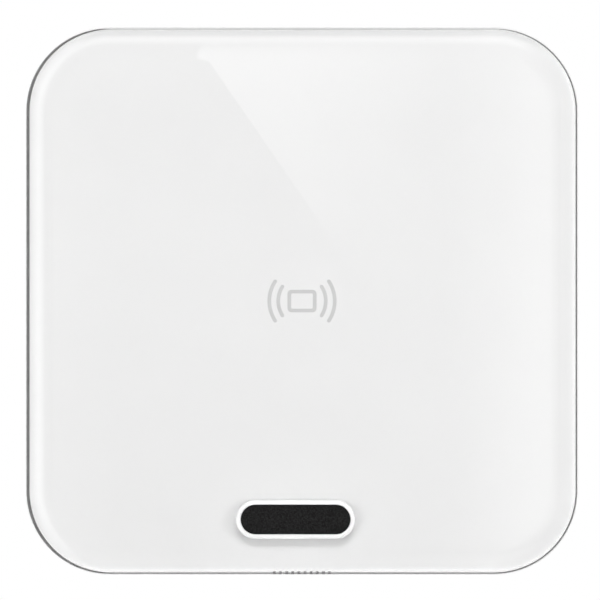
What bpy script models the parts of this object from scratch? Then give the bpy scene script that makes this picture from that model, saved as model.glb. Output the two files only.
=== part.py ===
"""Contactless wall reader: a rounded-square glass front on a frame that hooks over a wall plate.

Metres, +Z up. The wall is the plane Y = 0 and the glass faces -Y. The origin is the middle of the wall
plate's back. A depth below is a distance from the wall towards the viewer, so depth d lies at Y = -d.
An inset is a distance inwards from the glass panel's outline.
"""

import math

import bmesh
import bpy
from mathutils import Vector

MM = 0.001

# Fits shared by all pieces
BOND_GAP = 0.1 * MM
SEAT_GAP = 0.3 * MM
BITE = 0.5 * MM
SHARP_CORNER = 0.4 * MM
SCREW_EDGE = 0.25 * MM

# Glass panel and the white film behind it
PANEL_WIDTH = 81.0 * MM
PANEL_HEIGHT = 80.3 * MM
PANEL_RADIUS = 12.3 * MM
GLASS_THICKNESS = 2.4 * MM
GLASS_ROLL_WIDTH = 4.0 * MM
GLASS_ROLL_DEPTH = 1.6 * MM
GLASS_ARRIS = 0.3 * MM
CLEAR_RIM = 0.93 * MM
FILM_THICKNESS = 0.25 * MM
NOTCH_COUNT = 10
NOTCH_PITCH = 0.9 * MM
NOTCH_WIDTH = 0.4 * MM
NOTCH_RISE = 0.1 * MM

# Reader sign: a card outline between two pairs of wave arcs
INK_THICKNESS = 0.1 * MM
SIGN_STROKE = 0.54 * MM
CARD_WIDTH = 4.26 * MM
CARD_HEIGHT = 3.32 * MM
CARD_RADIUS = 0.6 * MM
CARD_HOLE_RADIUS = 0.2 * MM
WAVE_CENTRE_OFFSET = 0.48 * MM
INNER_WAVE_RADIUS = 3.97 * MM
OUTER_WAVE_RADIUS = 5.28 * MM
WAVE_HALF_ANGLE = math.radians(35.0)

# Badge on the glass
BADGE_WIDTH = 17.4 * MM
BADGE_HEIGHT = 5.68 * MM
BADGE_THICKNESS = 0.9 * MM
BADGE_EDGE_ROUND = 0.3 * MM
BADGE_RIM = 0.68 * MM
BADGE_POCKET = 0.4 * MM
BADGE_FOOT_DISTANCE = 8.25 * MM
BADGE_OFFSET = -0.94 * MM
INLAY_THICKNESS = 0.25 * MM

# Front frame that carries the glass
FRAME_INSET = 0.65 * MM
FRAME_WALL = 2.0 * MM
FRAME_EDGE_ROUND = 0.5 * MM
FLANGE_MARGIN = 0.5 * MM
FLANGE_THICKNESS = 1.6 * MM
SKIRT_GAP = 1.0 * MM
TAPE_THICKNESS = 0.5 * MM
TAPE_SETBACK = 0.2 * MM

# Rear cover, its seal and its screws
COVER_THICKNESS = 1.6 * MM
COVER_CLEARANCE = 0.3 * MM
SEAL_WIDTH = 1.4 * MM
SEAL_DEPTH = 0.9 * MM
COVER_BOSS_INSET = 4.0 * MM
COVER_BOSS_RADIUS = 2.3 * MM
COVER_SCREW_RADIUS = 1.1 * MM
COVER_SCREW_LENGTH = 4.0 * MM
COVER_HEAD_RADIUS = 2.1 * MM
COVER_HEAD_HEIGHT = 1.2 * MM
COVER_SOCKET_RADIUS = 1.0 * MM
COVER_SOCKET_DEPTH = 0.7 * MM

# Main board, held to the rear cover
BOARD_THICKNESS = 1.0 * MM
BOARD_CLEARANCE = 0.5 * MM
BOARD_HOLE_EDGE = 3.2 * MM
POST_RADIUS = 2.2 * MM
POST_HEIGHT = 0.7 * MM
BOARD_SCREW_RADIUS = 0.8 * MM
BOARD_SCREW_LENGTH = 2.6 * MM
BOARD_HEAD_RADIUS = 1.5 * MM
BOARD_HEAD_HEIGHT = 0.8 * MM
BOARD_SOCKET_RADIUS = 0.7 * MM
BOARD_SOCKET_DEPTH = 0.5 * MM
SOUNDER_RADIUS = 5.0 * MM
SOUNDER_HEIGHT = 1.7 * MM
SOUNDER_HOLE_RADIUS = 0.8 * MM
SOUNDER_HOLE_DEPTH = 0.6 * MM
SOUNDER_X = 14.0 * MM
SOUNDER_Z = -9.0 * MM
CHIP_HEIGHT = 0.9 * MM
CHIP_CHAMFER = 0.15 * MM
CONTROLLER_SIZE = 7.0 * MM
CONTROLLER_X = -14.0 * MM
CONTROLLER_Z = 9.0 * MM
READER_CHIP_SIZE = 5.0 * MM
READER_CHIP_X = -14.0 * MM
READER_CHIP_Z = -7.0 * MM
REGULATOR_WIDTH = 6.0 * MM
REGULATOR_LENGTH = 4.5 * MM
REGULATOR_X = 14.0 * MM
REGULATOR_Z = 9.0 * MM
CRYSTAL_WIDTH = 3.2 * MM
CRYSTAL_LENGTH = 2.5 * MM
CRYSTAL_X = -14.0 * MM
CRYSTAL_Z = 1.0 * MM

# Status lights and the light guide behind the sign
LIGHT_WIDTH = 1.6 * MM
LIGHT_LENGTH = 1.0 * MM
LIGHT_HEIGHT = 0.6 * MM
LIGHT_CORNER = 0.2 * MM
LIGHT_SPACING_X = 6.0 * MM
LIGHT_SPACING_Z = 4.0 * MM
GUIDE_MARGIN = 0.9 * MM
GUIDE_RADIUS = 1.0 * MM
WINDOW_CLEARANCE = 0.4 * MM

# Antenna board, coil, ferrite sheet and contact pins
ANTENNA_THICKNESS = 0.8 * MM
ANTENNA_CLEARANCE = 0.4 * MM
COIL_THICKNESS = 0.2 * MM
COIL_TURNS = 4
COIL_TRACK = 0.7 * MM
COIL_PITCH = 1.4 * MM
COIL_MARGIN = 1.0 * MM
FERRITE_THICKNESS = 0.5 * MM
FERRITE_SETBACK = 0.6 * MM
COMPONENT_CLEARANCE = 0.3 * MM
PIN_RADIUS = 0.5 * MM
PIN_COLLAR_RADIUS = 0.9 * MM
PIN_COLLAR_HEIGHT = 0.7 * MM
PIN_SPACING = 4.0 * MM
PIN_DROP = 10.0 * MM

# Terminal block on the rear cover
TERMINAL_POLES = 4
TERMINAL_PITCH = 3.8 * MM
TERMINAL_LENGTH = 8.0 * MM
TERMINAL_HEIGHT = 5.0 * MM
TERMINAL_FOOT_LENGTH = 5.0 * MM
TERMINAL_SHOULDER = 0.8 * MM
TERMINAL_RISE = 14.0 * MM
TERMINAL_SCREW_RADIUS = 1.1 * MM
TERMINAL_SCREW_LENGTH = 1.6 * MM
TERMINAL_SCREW_SINK = 0.4 * MM
TERMINAL_SOCKET_RADIUS = 0.6 * MM
TERMINAL_SOCKET_DEPTH = 0.8 * MM
WIRE_HOLE_RADIUS = 1.0 * MM
WIRE_HOLE_DEPTH = 4.5 * MM
WIRE_CLEARANCE = 0.4 * MM

# Tamper switch between the rear cover and the wall plate
SWITCH_WIDTH = 8.0 * MM
SWITCH_LENGTH = 5.0 * MM
SWITCH_HEIGHT = 3.6 * MM
SWITCH_X = 18.0 * MM
SWITCH_Z = -16.0 * MM
PLUNGER_RADIUS = 1.1 * MM
PLUNGER_TRAVEL = 0.8 * MM
PLUNGER_HOLD = 1.4 * MM
PLUNGER_CLEARANCE = 0.2 * MM
PLUNGER_TIP = 0.4 * MM

# Lock screw in the foot of the frame
LOCK_SCREW_RADIUS = 1.25 * MM
LOCK_SOCKET_RADIUS = 0.75 * MM
LOCK_SOCKET_DEPTH = 1.2 * MM
LOCK_SCREW_RECESS = 0.4 * MM
LOCK_BOSS_WALL = 0.55 * MM
LOCK_BOSS_WIDTH = 8.0 * MM
LOCK_BOSS_HEIGHT = 2.6 * MM
LOCK_TAB_GAP = 0.5 * MM
LOCK_TAB_THICKNESS = 2.0 * MM
LOCK_TAB_WIDTH = 10.0 * MM
TAB_CLEARANCE = 0.4 * MM
INSERT_WALL = 0.5 * MM
INSERT_LENGTH = 3.0 * MM
THREAD_CLEARANCE = 0.1 * MM

# Wall plate with its hooks, seal and cable entry
PLATE_THICKNESS = 2.0 * MM
RIB_THICKNESS = 1.4 * MM
RIB_HEIGHT = 1.4 * MM
HOOK_WIDTH = 10.0 * MM
HOOK_SPACING = 30.0 * MM
HOOK_THICKNESS = 1.6 * MM
HOOK_ROOT_HEIGHT = 2.4 * MM
HOOK_CLEARANCE = 0.4 * MM
SLOT_EDGE_DISTANCE = 6.15 * MM
SLOT_RADIUS = 2.0 * MM
SLOT_LENGTH = 9.0 * MM
WALL_SEAL_WIDTH = 2.5 * MM
WALL_SEAL_DEPTH = 1.0 * MM
CABLE_HOLE_RADIUS = 5.5 * MM
CABLE_BORE_RADIUS = 4.0 * MM
CABLE_DROP = 14.0 * MM
GROMMET_LIP_WIDTH = 1.4 * MM
GROMMET_LIP_THICKNESS = 0.7 * MM

# Roundness of the meshes
PANEL_CORNER_STEPS = 8
BLOCK_CORNER_STEPS = 2
ROLL_STEPS = 6
EDGE_STEPS = 3
ARC_STEPS = 10
SMALL_SIDES = 12
LARGE_SIDES = 24
SMOOTH_ANGLE = math.radians(30.0)

# Depths of the layers, from the wall to the glass
cover_back = PLATE_THICKNESS + WIRE_CLEARANCE + TERMINAL_HEIGHT + SEAT_GAP
cover_front = cover_back + COVER_THICKNESS
board_back = cover_front + POST_HEIGHT + SEAT_GAP
board_front = board_back + BOARD_THICKNESS
parts_back = board_front + BOND_GAP
ferrite_back = parts_back + SOUNDER_HEIGHT + COMPONENT_CLEARANCE
ferrite_front = ferrite_back + FERRITE_THICKNESS
coil_back = ferrite_front + BOND_GAP
coil_front = coil_back + COIL_THICKNESS
antenna_back = coil_front + BOND_GAP
antenna_front = antenna_back + ANTENNA_THICKNESS
film_back = antenna_front + BOND_GAP
film_front = film_back + FILM_THICKNESS
ink_back = film_front + BOND_GAP
ink_front = ink_back + INK_THICKNESS
glass_back = ink_front + BOND_GAP
glass_front = glass_back + GLASS_THICKNESS
tape_front = film_back - BOND_GAP
tape_back = tape_front - TAPE_THICKNESS
flange_front = tape_back - BOND_GAP
flange_back = flange_front - FLANGE_THICKNESS

# Insets of the outlines, from the glass panel's edge
inner_wall_inset = FRAME_INSET + FRAME_WALL
cover_inset = inner_wall_inset + COVER_CLEARANCE
cover_boss_inset = inner_wall_inset + COVER_BOSS_INSET
flange_inset = cover_boss_inset + COVER_BOSS_RADIUS + FLANGE_MARGIN
board_inset = cover_boss_inset + COVER_BOSS_RADIUS + BOARD_CLEARANCE
antenna_inset = flange_inset + ANTENNA_CLEARANCE
plate_inset = inner_wall_inset + RIB_HEIGHT + SEAT_GAP

# Heights of the frame's inner faces and of the plate's edges
frame_foot = -(PANEL_HEIGHT / 2 - FRAME_INSET)
inner_top = PANEL_HEIGHT / 2 - inner_wall_inset
inner_foot = -inner_top
plate_top = PANEL_HEIGHT / 2 - plate_inset
rib_foot = inner_top - RIB_HEIGHT

# Joint axes and the pieces on them
hinge_depth = SKIRT_GAP + RIB_THICKNESS / 2
hinge_height = rib_foot + SEAT_GAP
lock_depth = (PLATE_THICKNESS + cover_back) / 2
lock_boss_top = inner_foot + LOCK_BOSS_HEIGHT
lock_screw_foot = frame_foot + LOCK_SCREW_RECESS
insert_pocket_radius = LOCK_SCREW_RADIUS + INSERT_WALL + 2 * THREAD_CLEARANCE
switch_front = cover_back - BOND_GAP
switch_back = switch_front - SWITCH_HEIGHT
plunger_back = PLATE_THICKNESS + SEAT_GAP
plunger_front = switch_back + PLUNGER_HOLD

# Half the reader sign's size
sign_half_width = OUTER_WAVE_RADIUS - WAVE_CENTRE_OFFSET + SIGN_STROKE / 2
sign_half_height = OUTER_WAVE_RADIUS * math.sin(WAVE_HALF_ANGLE) + SIGN_STROKE / 2


def clear_scene():
    for old in list(bpy.data.objects):
        bpy.data.objects.remove(old, do_unlink=True)


def material(name, colour, roughness, metallic=0.0, transmission=0.0):
    made = bpy.data.materials.new(name)
    made.use_nodes = True
    shader = made.node_tree.nodes["Principled BSDF"]
    shader.inputs["Base Color"].default_value = (*colour, 1.0)
    shader.inputs["Roughness"].default_value = roughness
    shader.inputs["Metallic"].default_value = metallic
    shader.inputs["Transmission Weight"].default_value = transmission
    return made


def spot(x, depth, z):
    return Vector((x, -depth, z))


def four_corners(half_width, half_height):
    return [(x * half_width, z * half_height) for x in (-1, 1) for z in (-1, 1)]


def rounded_outline(width, height, radius, place=(0.0, 0.0), steps=BLOCK_CORNER_STEPS):
    """Points (x, z) of a rounded rectangle, anticlockwise seen from the front."""
    points = []
    for quarter, (side_x, side_z) in enumerate(((1, 1), (-1, 1), (-1, -1), (1, -1))):
        middle_x = place[0] + side_x * (width / 2 - radius)
        middle_z = place[1] + side_z * (height / 2 - radius)
        for step in range(steps + 1):
            angle = math.pi / 2 * (quarter + step / steps)
            points.append((middle_x + radius * math.cos(angle), middle_z + radius * math.sin(angle)))
    return points


def panel_radius(inset):
    return max(PANEL_RADIUS - inset, SHARP_CORNER)


def panel_outline(inset):
    size = (PANEL_WIDTH - 2 * inset, PANEL_HEIGHT - 2 * inset)
    return rounded_outline(*size, panel_radius(inset), steps=PANEL_CORNER_STEPS)


def corner_places(inset):
    """The middles of the four corner arcs of the panel's outline at this inset."""
    setback = inset + panel_radius(inset) * (1 - math.sqrt(0.5))
    return four_corners(PANEL_WIDTH / 2 - setback, PANEL_HEIGHT / 2 - setback)


def at_depth(outline, depth):
    return [spot(x, depth, z) for x, z in outline]


def rolled_edge(inset, face, width, depth, steps):
    """(inset, depth) pairs of a rounded-over edge, from the side of a plate to its face."""
    pairs = []
    for step in range(steps + 1):
        angle = math.pi / 2 * step / steps
        pairs.append((inset + width * (1 - math.cos(angle)), face - depth * (1 - math.sin(angle))))
    return pairs


def add_rings(bm, rings, closed=False):
    """Skins rings of equally many points. Open rings get end caps, closed ones join up again."""
    loops = [[bm.verts.new(point) for point in ring] for ring in rings]
    pairs = list(zip(loops, loops[1:]))
    if closed:
        pairs.append((loops[-1], loops[0]))
    else:
        bm.faces.new(loops[0])
        bm.faces.new(loops[-1])
    for first, second in pairs:
        for index, start in enumerate(first):
            after = (index + 1) % len(first)
            bm.faces.new((start, first[after], second[after], second[index]))


def add_panel(bm, profile, closed=False):
    """A plate, or with closed a frame, along the panel's outline. The profile is (inset, depth) pairs."""
    add_rings(bm, [at_depth(panel_outline(inset), depth) for inset, depth in profile], closed)


def frame_profile(outer, inner, back, front):
    return [(outer, back), (outer, front), (inner, front), (inner, back)]


def add_block(bm, place, width, height, back, front, radius=SHARP_CORNER, chamfer=0.0):
    """A block centred on (x, z), with an optional chamfer round its front face."""
    outline = rounded_outline(width, height, radius, place)
    rings = [at_depth(outline, back), at_depth(outline, front - chamfer)]
    if chamfer:
        inner = rounded_outline(width - 2 * chamfer, height - 2 * chamfer, radius, place)
        rings.append(at_depth(inner, front))
    add_rings(bm, rings)


def add_bar(bm, middle_x, width, section):
    """A bar along X. The section is (depth, height) pairs."""
    ends = (middle_x - width / 2, middle_x + width / 2)
    add_rings(bm, [[spot(x, depth, height) for depth, height in section] for x in ends])


def rectangle(back, front, foot, top):
    return [(back, foot), (front, foot), (front, top), (back, top)]


def add_strip(bm, path, width, back, front):
    """A flat strip of this width along (x, z) points."""
    rings = []
    for index, point in enumerate(path):
        before = Vector(path[max(index - 1, 0)])
        after = Vector(path[min(index + 1, len(path) - 1)])
        along = (after - before).normalized()
        side = Vector((-along.y, along.x)) * (width / 2)
        left, right = Vector(point) + side, Vector(point) - side
        rings.append(at_depth((left, right), back) + at_depth((right, left), front))
    add_rings(bm, rings)


def depth_axis(x, z):
    """Places a turned shape about a line through the wall at (x, z)."""
    return lambda a, b, along: spot(x + a, along, z + b)


def height_axis(x, depth):
    """Places a turned shape about an upright line."""
    return lambda a, b, along: spot(x + a, depth - b, along)


def circle(radius, sides):
    turns = [2 * math.pi * side / sides for side in range(sides)]
    return [(radius * math.cos(turn), radius * math.sin(turn)) for turn in turns]


def hexagon(radius, sides):
    """A hexagon of this inner radius, with as many points as a circle of that many sides."""
    points = []
    for x, z in circle(1.0, sides):
        turn = math.atan2(z, x)
        reach = radius / math.cos(turn % (math.pi / 3) - math.pi / 6)
        points.append((reach * x, reach * z))
    return points


def add_turned(bm, axis, profile, sides=SMALL_SIDES, closed=False, socket=None):
    """A turned shape of (radius, along) pairs. A socket is a hexagon's (radius, mouth, floor)."""
    rings = [(circle(radius, sides), along) for radius, along in profile]
    if socket:
        radius, mouth, floor = socket
        rings += [(hexagon(radius, sides), mouth), (hexagon(radius, sides), floor)]
    add_rings(bm, [[axis(a, b, along) for a, b in ring] for ring, along in rings], closed)


def add_rod(bm, axis, radius, start, end, sides=SMALL_SIDES):
    add_turned(bm, axis, [(radius, start), (radius, end)], sides)


def mesh_from(name, bm):
    bmesh.ops.recalc_face_normals(bm, faces=bm.faces[:])
    mesh = bpy.data.meshes.new(name)
    bm.to_mesh(mesh)
    bm.free()
    mesh.shade_smooth()
    mesh.set_sharp_from_angle(angle=SMOOTH_ANGLE)
    return mesh


def linked(name, data):
    made = bpy.data.objects.new(name, data)
    bpy.context.scene.collection.objects.link(made)
    return made


def carrier(name, location):
    """An empty on a body's joint axis, which carries the body's pieces."""
    made = linked(name, None)
    made.location = location
    return made


def placed(name, mesh, finish, body, place, turn=(0.0, 0.0, 0.0)):
    """A piece at a place, on a body. Copies of a piece share one mesh."""
    made = linked(name, mesh)
    if not mesh.materials:
        mesh.materials.append(finish)
    made.parent = body
    made.location = place - body.location
    made.rotation_euler = turn
    return made


def piece(name, bm, finish, body):
    """A piece that is modelled where it belongs."""
    return placed(name, mesh_from(name, bm), finish, body, Vector())


def boolean(target, name, bm, operation):
    """Joins a helper shape to a piece, or cuts it out of it, and shades both flat to keep cut edges crisp."""
    helper = linked(name, mesh_from(name, bm))
    helper.hide_render = True
    helper.display_type = "WIRE"
    helper.data.shade_flat()
    target.data.shade_flat()
    modifier = target.modifiers.new(name, "BOOLEAN")
    modifier.operation = operation
    modifier.solver = "EXACT"
    modifier.object = helper


def screw_mesh(name, shank_radius, length, head_radius, head_height, socket_radius, socket_depth):
    """A screw about the depth axis. Its head seats at depth 0 and faces the wall."""
    profile = [
        (shank_radius - SCREW_EDGE, length),
        (shank_radius, length - SCREW_EDGE),
        (shank_radius, 0.0),
        (head_radius, 0.0),
        (head_radius, SCREW_EDGE - head_height),
        (head_radius - SCREW_EDGE, -head_height),
    ]
    bm = bmesh.new()
    socket = (socket_radius, -head_height, socket_depth - head_height)
    add_turned(bm, depth_axis(0.0, 0.0), profile, socket=socket)
    return mesh_from(name, bm)


def headless_screw_mesh(name, radius, length, socket_radius, socket_depth):
    """A screw without a head about the depth axis, whose socket faces the wall at depth 0."""
    profile = [(radius - SCREW_EDGE, length), (radius, length - SCREW_EDGE), (radius, 0.0)]
    bm = bmesh.new()
    add_turned(bm, depth_axis(0.0, 0.0), profile, socket=(socket_radius, 0.0, socket_depth))
    return mesh_from(name, bm)


def glass_panel(front):
    profile = [(GLASS_ARRIS, glass_back), (0.0, glass_back + GLASS_ARRIS)]
    profile += rolled_edge(0.0, glass_front, GLASS_ROLL_WIDTH, GLASS_ROLL_DEPTH, ROLL_STEPS)
    bm = bmesh.new()
    add_panel(bm, profile)
    piece("glass_panel", bm, material("clear_glass", (0.95, 0.97, 0.97), 0.03, transmission=1.0), front)


def film_and_tape(front):
    """The white film with a row of notches in its lower edge, and the tape that bonds it to the frame."""
    bm = bmesh.new()
    add_panel(bm, [(CLEAR_RIM, film_back), (CLEAR_RIM, film_front)])
    film = piece("decor_film", bm, material("white_film", (0.86, 0.86, 0.86), 0.5), front)
    foot = CLEAR_RIM - PANEL_HEIGHT / 2
    notch = rectangle(film_back - BITE, film_front + BITE, foot - BITE, foot + NOTCH_RISE)
    bm = bmesh.new()
    for number in range(NOTCH_COUNT):
        add_bar(bm, (number - (NOTCH_COUNT - 1) / 2) * NOTCH_PITCH, NOTCH_WIDTH, notch)
    boolean(film, "film_notches", bm, "DIFFERENCE")
    bm = bmesh.new()
    edges = (FRAME_INSET + TAPE_SETBACK, flange_inset - TAPE_SETBACK)
    add_panel(bm, frame_profile(*edges, tape_back, tape_front), closed=True)
    piece("bonding_tape", bm, material("black_tape", (0.03, 0.03, 0.03), 0.8), front)


def reader_sign(front):
    ink = material("grey_ink", (0.62, 0.62, 0.62), 0.5)
    outer = rounded_outline(CARD_WIDTH, CARD_HEIGHT, CARD_RADIUS)
    hole_size = (CARD_WIDTH - 2 * SIGN_STROKE, CARD_HEIGHT - 2 * SIGN_STROKE)
    inner = rounded_outline(*hole_size, CARD_HOLE_RADIUS)
    rings = [at_depth(outer, ink_back), at_depth(outer, ink_front)]
    rings += [at_depth(inner, ink_front), at_depth(inner, ink_back)]
    bm = bmesh.new()
    add_rings(bm, rings, closed=True)
    piece("sign_card", bm, ink, front)
    for side, side_name in ((-1, "left"), (1, "right")):
        for radius, ring_name in ((INNER_WAVE_RADIUS, "inner"), (OUTER_WAVE_RADIUS, "outer")):
            path = []
            for step in range(ARC_STEPS + 1):
                angle = WAVE_HALF_ANGLE * (2 * step / ARC_STEPS - 1)
                reach = radius * math.cos(angle) - WAVE_CENTRE_OFFSET
                path.append((side * reach, radius * math.sin(angle)))
            bm = bmesh.new()
            add_strip(bm, path, SIGN_STROKE, ink_back, ink_front)
            piece(f"sign_wave_{ring_name}_{side_name}", bm, ink, front)


def add_pill(bm, profile):
    """A plate with round ends at the badge's place. The profile is (inset, depth) pairs."""
    place = (BADGE_OFFSET, BADGE_FOOT_DISTANCE - PANEL_HEIGHT / 2)
    rings = []
    for inset, depth in profile:
        width, height = BADGE_WIDTH - 2 * inset, BADGE_HEIGHT - 2 * inset
        outline = rounded_outline(width, height, height / 2, place, PANEL_CORNER_STEPS)
        rings.append(at_depth(outline, depth))
    add_rings(bm, rings)


def badge(front):
    back = glass_front + BOND_GAP
    face = back + BADGE_THICKNESS
    floor = face - BADGE_POCKET
    profile = [(0.0, back)] + rolled_edge(0.0, face, BADGE_EDGE_ROUND, BADGE_EDGE_ROUND, EDGE_STEPS)
    bm = bmesh.new()
    add_pill(bm, profile + [(BADGE_RIM, face), (BADGE_RIM, floor)])
    piece("badge_plate", bm, material("white_badge", (0.9, 0.9, 0.9), 0.35), front)
    inlay_back = floor + BOND_GAP
    inset = BADGE_RIM + BOND_GAP
    bm = bmesh.new()
    add_pill(bm, [(inset, inlay_back), (inset, inlay_back + INLAY_THICKNESS)])
    piece("badge_inlay", bm, material("black_inlay", (0.015, 0.015, 0.015), 0.6), front)


def front_frame(front):
    back_edge = rolled_edge(FRAME_INSET, SKIRT_GAP, FRAME_EDGE_ROUND, -FRAME_EDGE_ROUND, EDGE_STEPS)
    profile = back_edge[::-1] + [
        (FRAME_INSET, flange_front),
        (flange_inset, flange_front),
        (flange_inset, flange_back),
        (inner_wall_inset, flange_back),
        (inner_wall_inset, SKIRT_GAP),
    ]
    bm = bmesh.new()
    add_panel(bm, profile, closed=True)
    frame = piece("front_frame", bm, material("white_housing", (0.8, 0.8, 0.8), 0.45), front)
    add_frame_bosses(frame)
    cut_frame_holes(frame)


def add_frame_bosses(frame):
    """Corner bosses for the cover screws, ribs that hang on the hooks, and the boss of the lock screw."""
    bm = bmesh.new()
    for place in corner_places(cover_boss_inset):
        add_rod(bm, depth_axis(*place), COVER_BOSS_RADIUS, cover_front + SEAT_GAP, flange_back + BITE)
    rib = rectangle(SKIRT_GAP + BOND_GAP, SKIRT_GAP + RIB_THICKNESS, rib_foot, inner_top + BITE)
    for side in (-1, 1):
        add_bar(bm, side * HOOK_SPACING / 2, HOOK_WIDTH, rib)
    reach = insert_pocket_radius + LOCK_BOSS_WALL
    section = rectangle(lock_depth - reach, lock_depth + reach, inner_foot - BITE, lock_boss_top)
    add_bar(bm, 0.0, LOCK_BOSS_WIDTH, section)
    boolean(frame, "frame_bosses", bm, "UNION")


def cut_frame_holes(frame):
    """Pilot holes in the bosses, and the stepped bore of the lock screw."""
    bm = bmesh.new()
    pilot_end = cover_back + COVER_SCREW_LENGTH + SEAT_GAP
    for place in corner_places(cover_boss_inset):
        add_rod(bm, depth_axis(*place), COVER_SCREW_RADIUS + SEAT_GAP, cover_front - BITE, pilot_end)
    neck = LOCK_SCREW_RADIUS + SEAT_GAP
    floor = lock_boss_top - INSERT_LENGTH - SEAT_GAP
    bore = [(neck, frame_foot - BITE), (neck, floor)]
    bore += [(insert_pocket_radius, floor), (insert_pocket_radius, lock_boss_top + BITE)]
    add_turned(bm, height_axis(0.0, lock_depth), bore)
    boolean(frame, "frame_holes", bm, "DIFFERENCE")


def board_hole_places():
    edge = board_inset + BOARD_HOLE_EDGE
    return four_corners(PANEL_WIDTH / 2 - edge, PANEL_HEIGHT / 2 - edge)


def terminal_foot_size():
    return TERMINAL_POLES * TERMINAL_PITCH - 2 * TERMINAL_SHOULDER, TERMINAL_FOOT_LENGTH


def rear_cover(front):
    step_inset = cover_inset + SEAL_WIDTH
    step_depth = cover_front - SEAL_DEPTH
    profile = [(cover_inset, cover_back), (cover_inset, step_depth)]
    profile += [(step_inset, step_depth), (step_inset, cover_front)]
    bm = bmesh.new()
    add_panel(bm, profile)
    cover = piece("rear_cover", bm, material("grey_cover", (0.35, 0.36, 0.37), 0.5), front)
    bm = bmesh.new()
    for place in board_hole_places():
        add_rod(bm, depth_axis(*place), POST_RADIUS, cover_front - BITE, cover_front + POST_HEIGHT)
    boolean(cover, "cover_posts", bm, "UNION")
    bm = bmesh.new()
    for place in corner_places(cover_boss_inset):
        add_rod(bm, depth_axis(*place), COVER_SCREW_RADIUS + SEAT_GAP, cover_back - BITE, cover_front + BITE)
    pilot_end = board_front - BOARD_SCREW_LENGTH - SEAT_GAP
    for place in board_hole_places():
        post_end = cover_front + POST_HEIGHT + BITE
        add_rod(bm, depth_axis(*place), BOARD_SCREW_RADIUS + BOND_GAP, pilot_end, post_end)
    window = [size + 2 * SEAT_GAP for size in terminal_foot_size()]
    add_block(bm, (0.0, TERMINAL_RISE), *window, cover_back - BITE, cover_front + BITE)
    boolean(cover, "cover_holes", bm, "DIFFERENCE")
    bm = bmesh.new()
    edges = (inner_wall_inset + BOND_GAP, step_inset - BOND_GAP)
    add_panel(bm, frame_profile(*edges, step_depth + BOND_GAP, cover_front), closed=True)
    piece("cover_seal", bm, material("black_rubber", (0.02, 0.02, 0.02), 0.85), front)
    steel = material("screw_steel", (0.55, 0.55, 0.56), 0.3, metallic=1.0)
    head = (COVER_HEAD_RADIUS, COVER_HEAD_HEIGHT, COVER_SOCKET_RADIUS, COVER_SOCKET_DEPTH)
    mesh = screw_mesh("cover_screw", COVER_SCREW_RADIUS, COVER_SCREW_LENGTH, *head)
    for number, (x, z) in enumerate(corner_places(cover_boss_inset), 1):
        placed(f"cover_screw_{number}", mesh, steel, front, spot(x, cover_back - BOND_GAP, z))


def main_board(front):
    bm = bmesh.new()
    add_panel(bm, [(board_inset, board_back), (board_inset, board_front)])
    board = piece("main_board", bm, material("green_board", (0.02, 0.16, 0.07), 0.45), front)
    bm = bmesh.new()
    for place in board_hole_places():
        add_rod(bm, depth_axis(*place), BOARD_SCREW_RADIUS + SEAT_GAP, board_back - BITE, board_front + BITE)
    boolean(board, "board_holes", bm, "DIFFERENCE")
    steel = material("small_screw_steel", (0.6, 0.6, 0.6), 0.3, metallic=1.0)
    head = (BOARD_HEAD_RADIUS, BOARD_HEAD_HEIGHT, BOARD_SOCKET_RADIUS, BOARD_SOCKET_DEPTH)
    mesh = screw_mesh("board_screw", BOARD_SCREW_RADIUS, BOARD_SCREW_LENGTH, *head)
    for number, (x, z) in enumerate(board_hole_places(), 1):
        place = spot(x, board_front + BOND_GAP, z)
        placed(f"board_screw_{number}", mesh, steel, front, place, turn=(0.0, 0.0, math.pi))


def board_parts(front):
    black = material("chip_black", (0.02, 0.02, 0.022), 0.5)
    silver = material("can_silver", (0.7, 0.7, 0.7), 0.3, metallic=1.0)
    chips = (
        ("controller_chip", (CONTROLLER_X, CONTROLLER_Z), CONTROLLER_SIZE, CONTROLLER_SIZE, black),
        ("reader_chip", (READER_CHIP_X, READER_CHIP_Z), READER_CHIP_SIZE, READER_CHIP_SIZE, black),
        ("voltage_regulator", (REGULATOR_X, REGULATOR_Z), REGULATOR_WIDTH, REGULATOR_LENGTH, black),
        ("crystal", (CRYSTAL_X, CRYSTAL_Z), CRYSTAL_WIDTH, CRYSTAL_LENGTH, silver),
    )
    for name, place, width, length, finish in chips:
        bm = bmesh.new()
        add_block(bm, place, width, length, parts_back, parts_back + CHIP_HEIGHT, chamfer=CHIP_CHAMFER)
        piece(name, bm, finish, front)
    face = parts_back + SOUNDER_HEIGHT
    profile = [(SOUNDER_RADIUS, parts_back), (SOUNDER_RADIUS, face)]
    profile += [(SOUNDER_HOLE_RADIUS, face), (SOUNDER_HOLE_RADIUS, face - SOUNDER_HOLE_DEPTH)]
    bm = bmesh.new()
    add_turned(bm, depth_axis(SOUNDER_X, SOUNDER_Z), profile, LARGE_SIDES)
    piece("sounder", bm, black, front)


def guide_size():
    return 2 * (sign_half_width + GUIDE_MARGIN), 2 * (sign_half_height + GUIDE_MARGIN)


def lights_and_guide(front):
    lamp = material("light_lens", (0.85, 0.85, 0.7), 0.2)
    bm = bmesh.new()
    add_block(bm, (0.0, 0.0), LIGHT_WIDTH, LIGHT_LENGTH, 0.0, LIGHT_HEIGHT, LIGHT_CORNER)
    mesh = mesh_from("status_light", bm)
    for number, (x, z) in enumerate(four_corners(LIGHT_SPACING_X / 2, LIGHT_SPACING_Z / 2), 1):
        placed(f"status_light_{number}", mesh, lamp, front, spot(x, parts_back, z))
    bm = bmesh.new()
    back = parts_back + LIGHT_HEIGHT + BOND_GAP
    add_block(bm, (0.0, 0.0), *guide_size(), back, film_back - BOND_GAP, GUIDE_RADIUS)
    piece("light_guide", bm, material("milky_guide", (0.9, 0.9, 0.9), 0.3), front)


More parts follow.
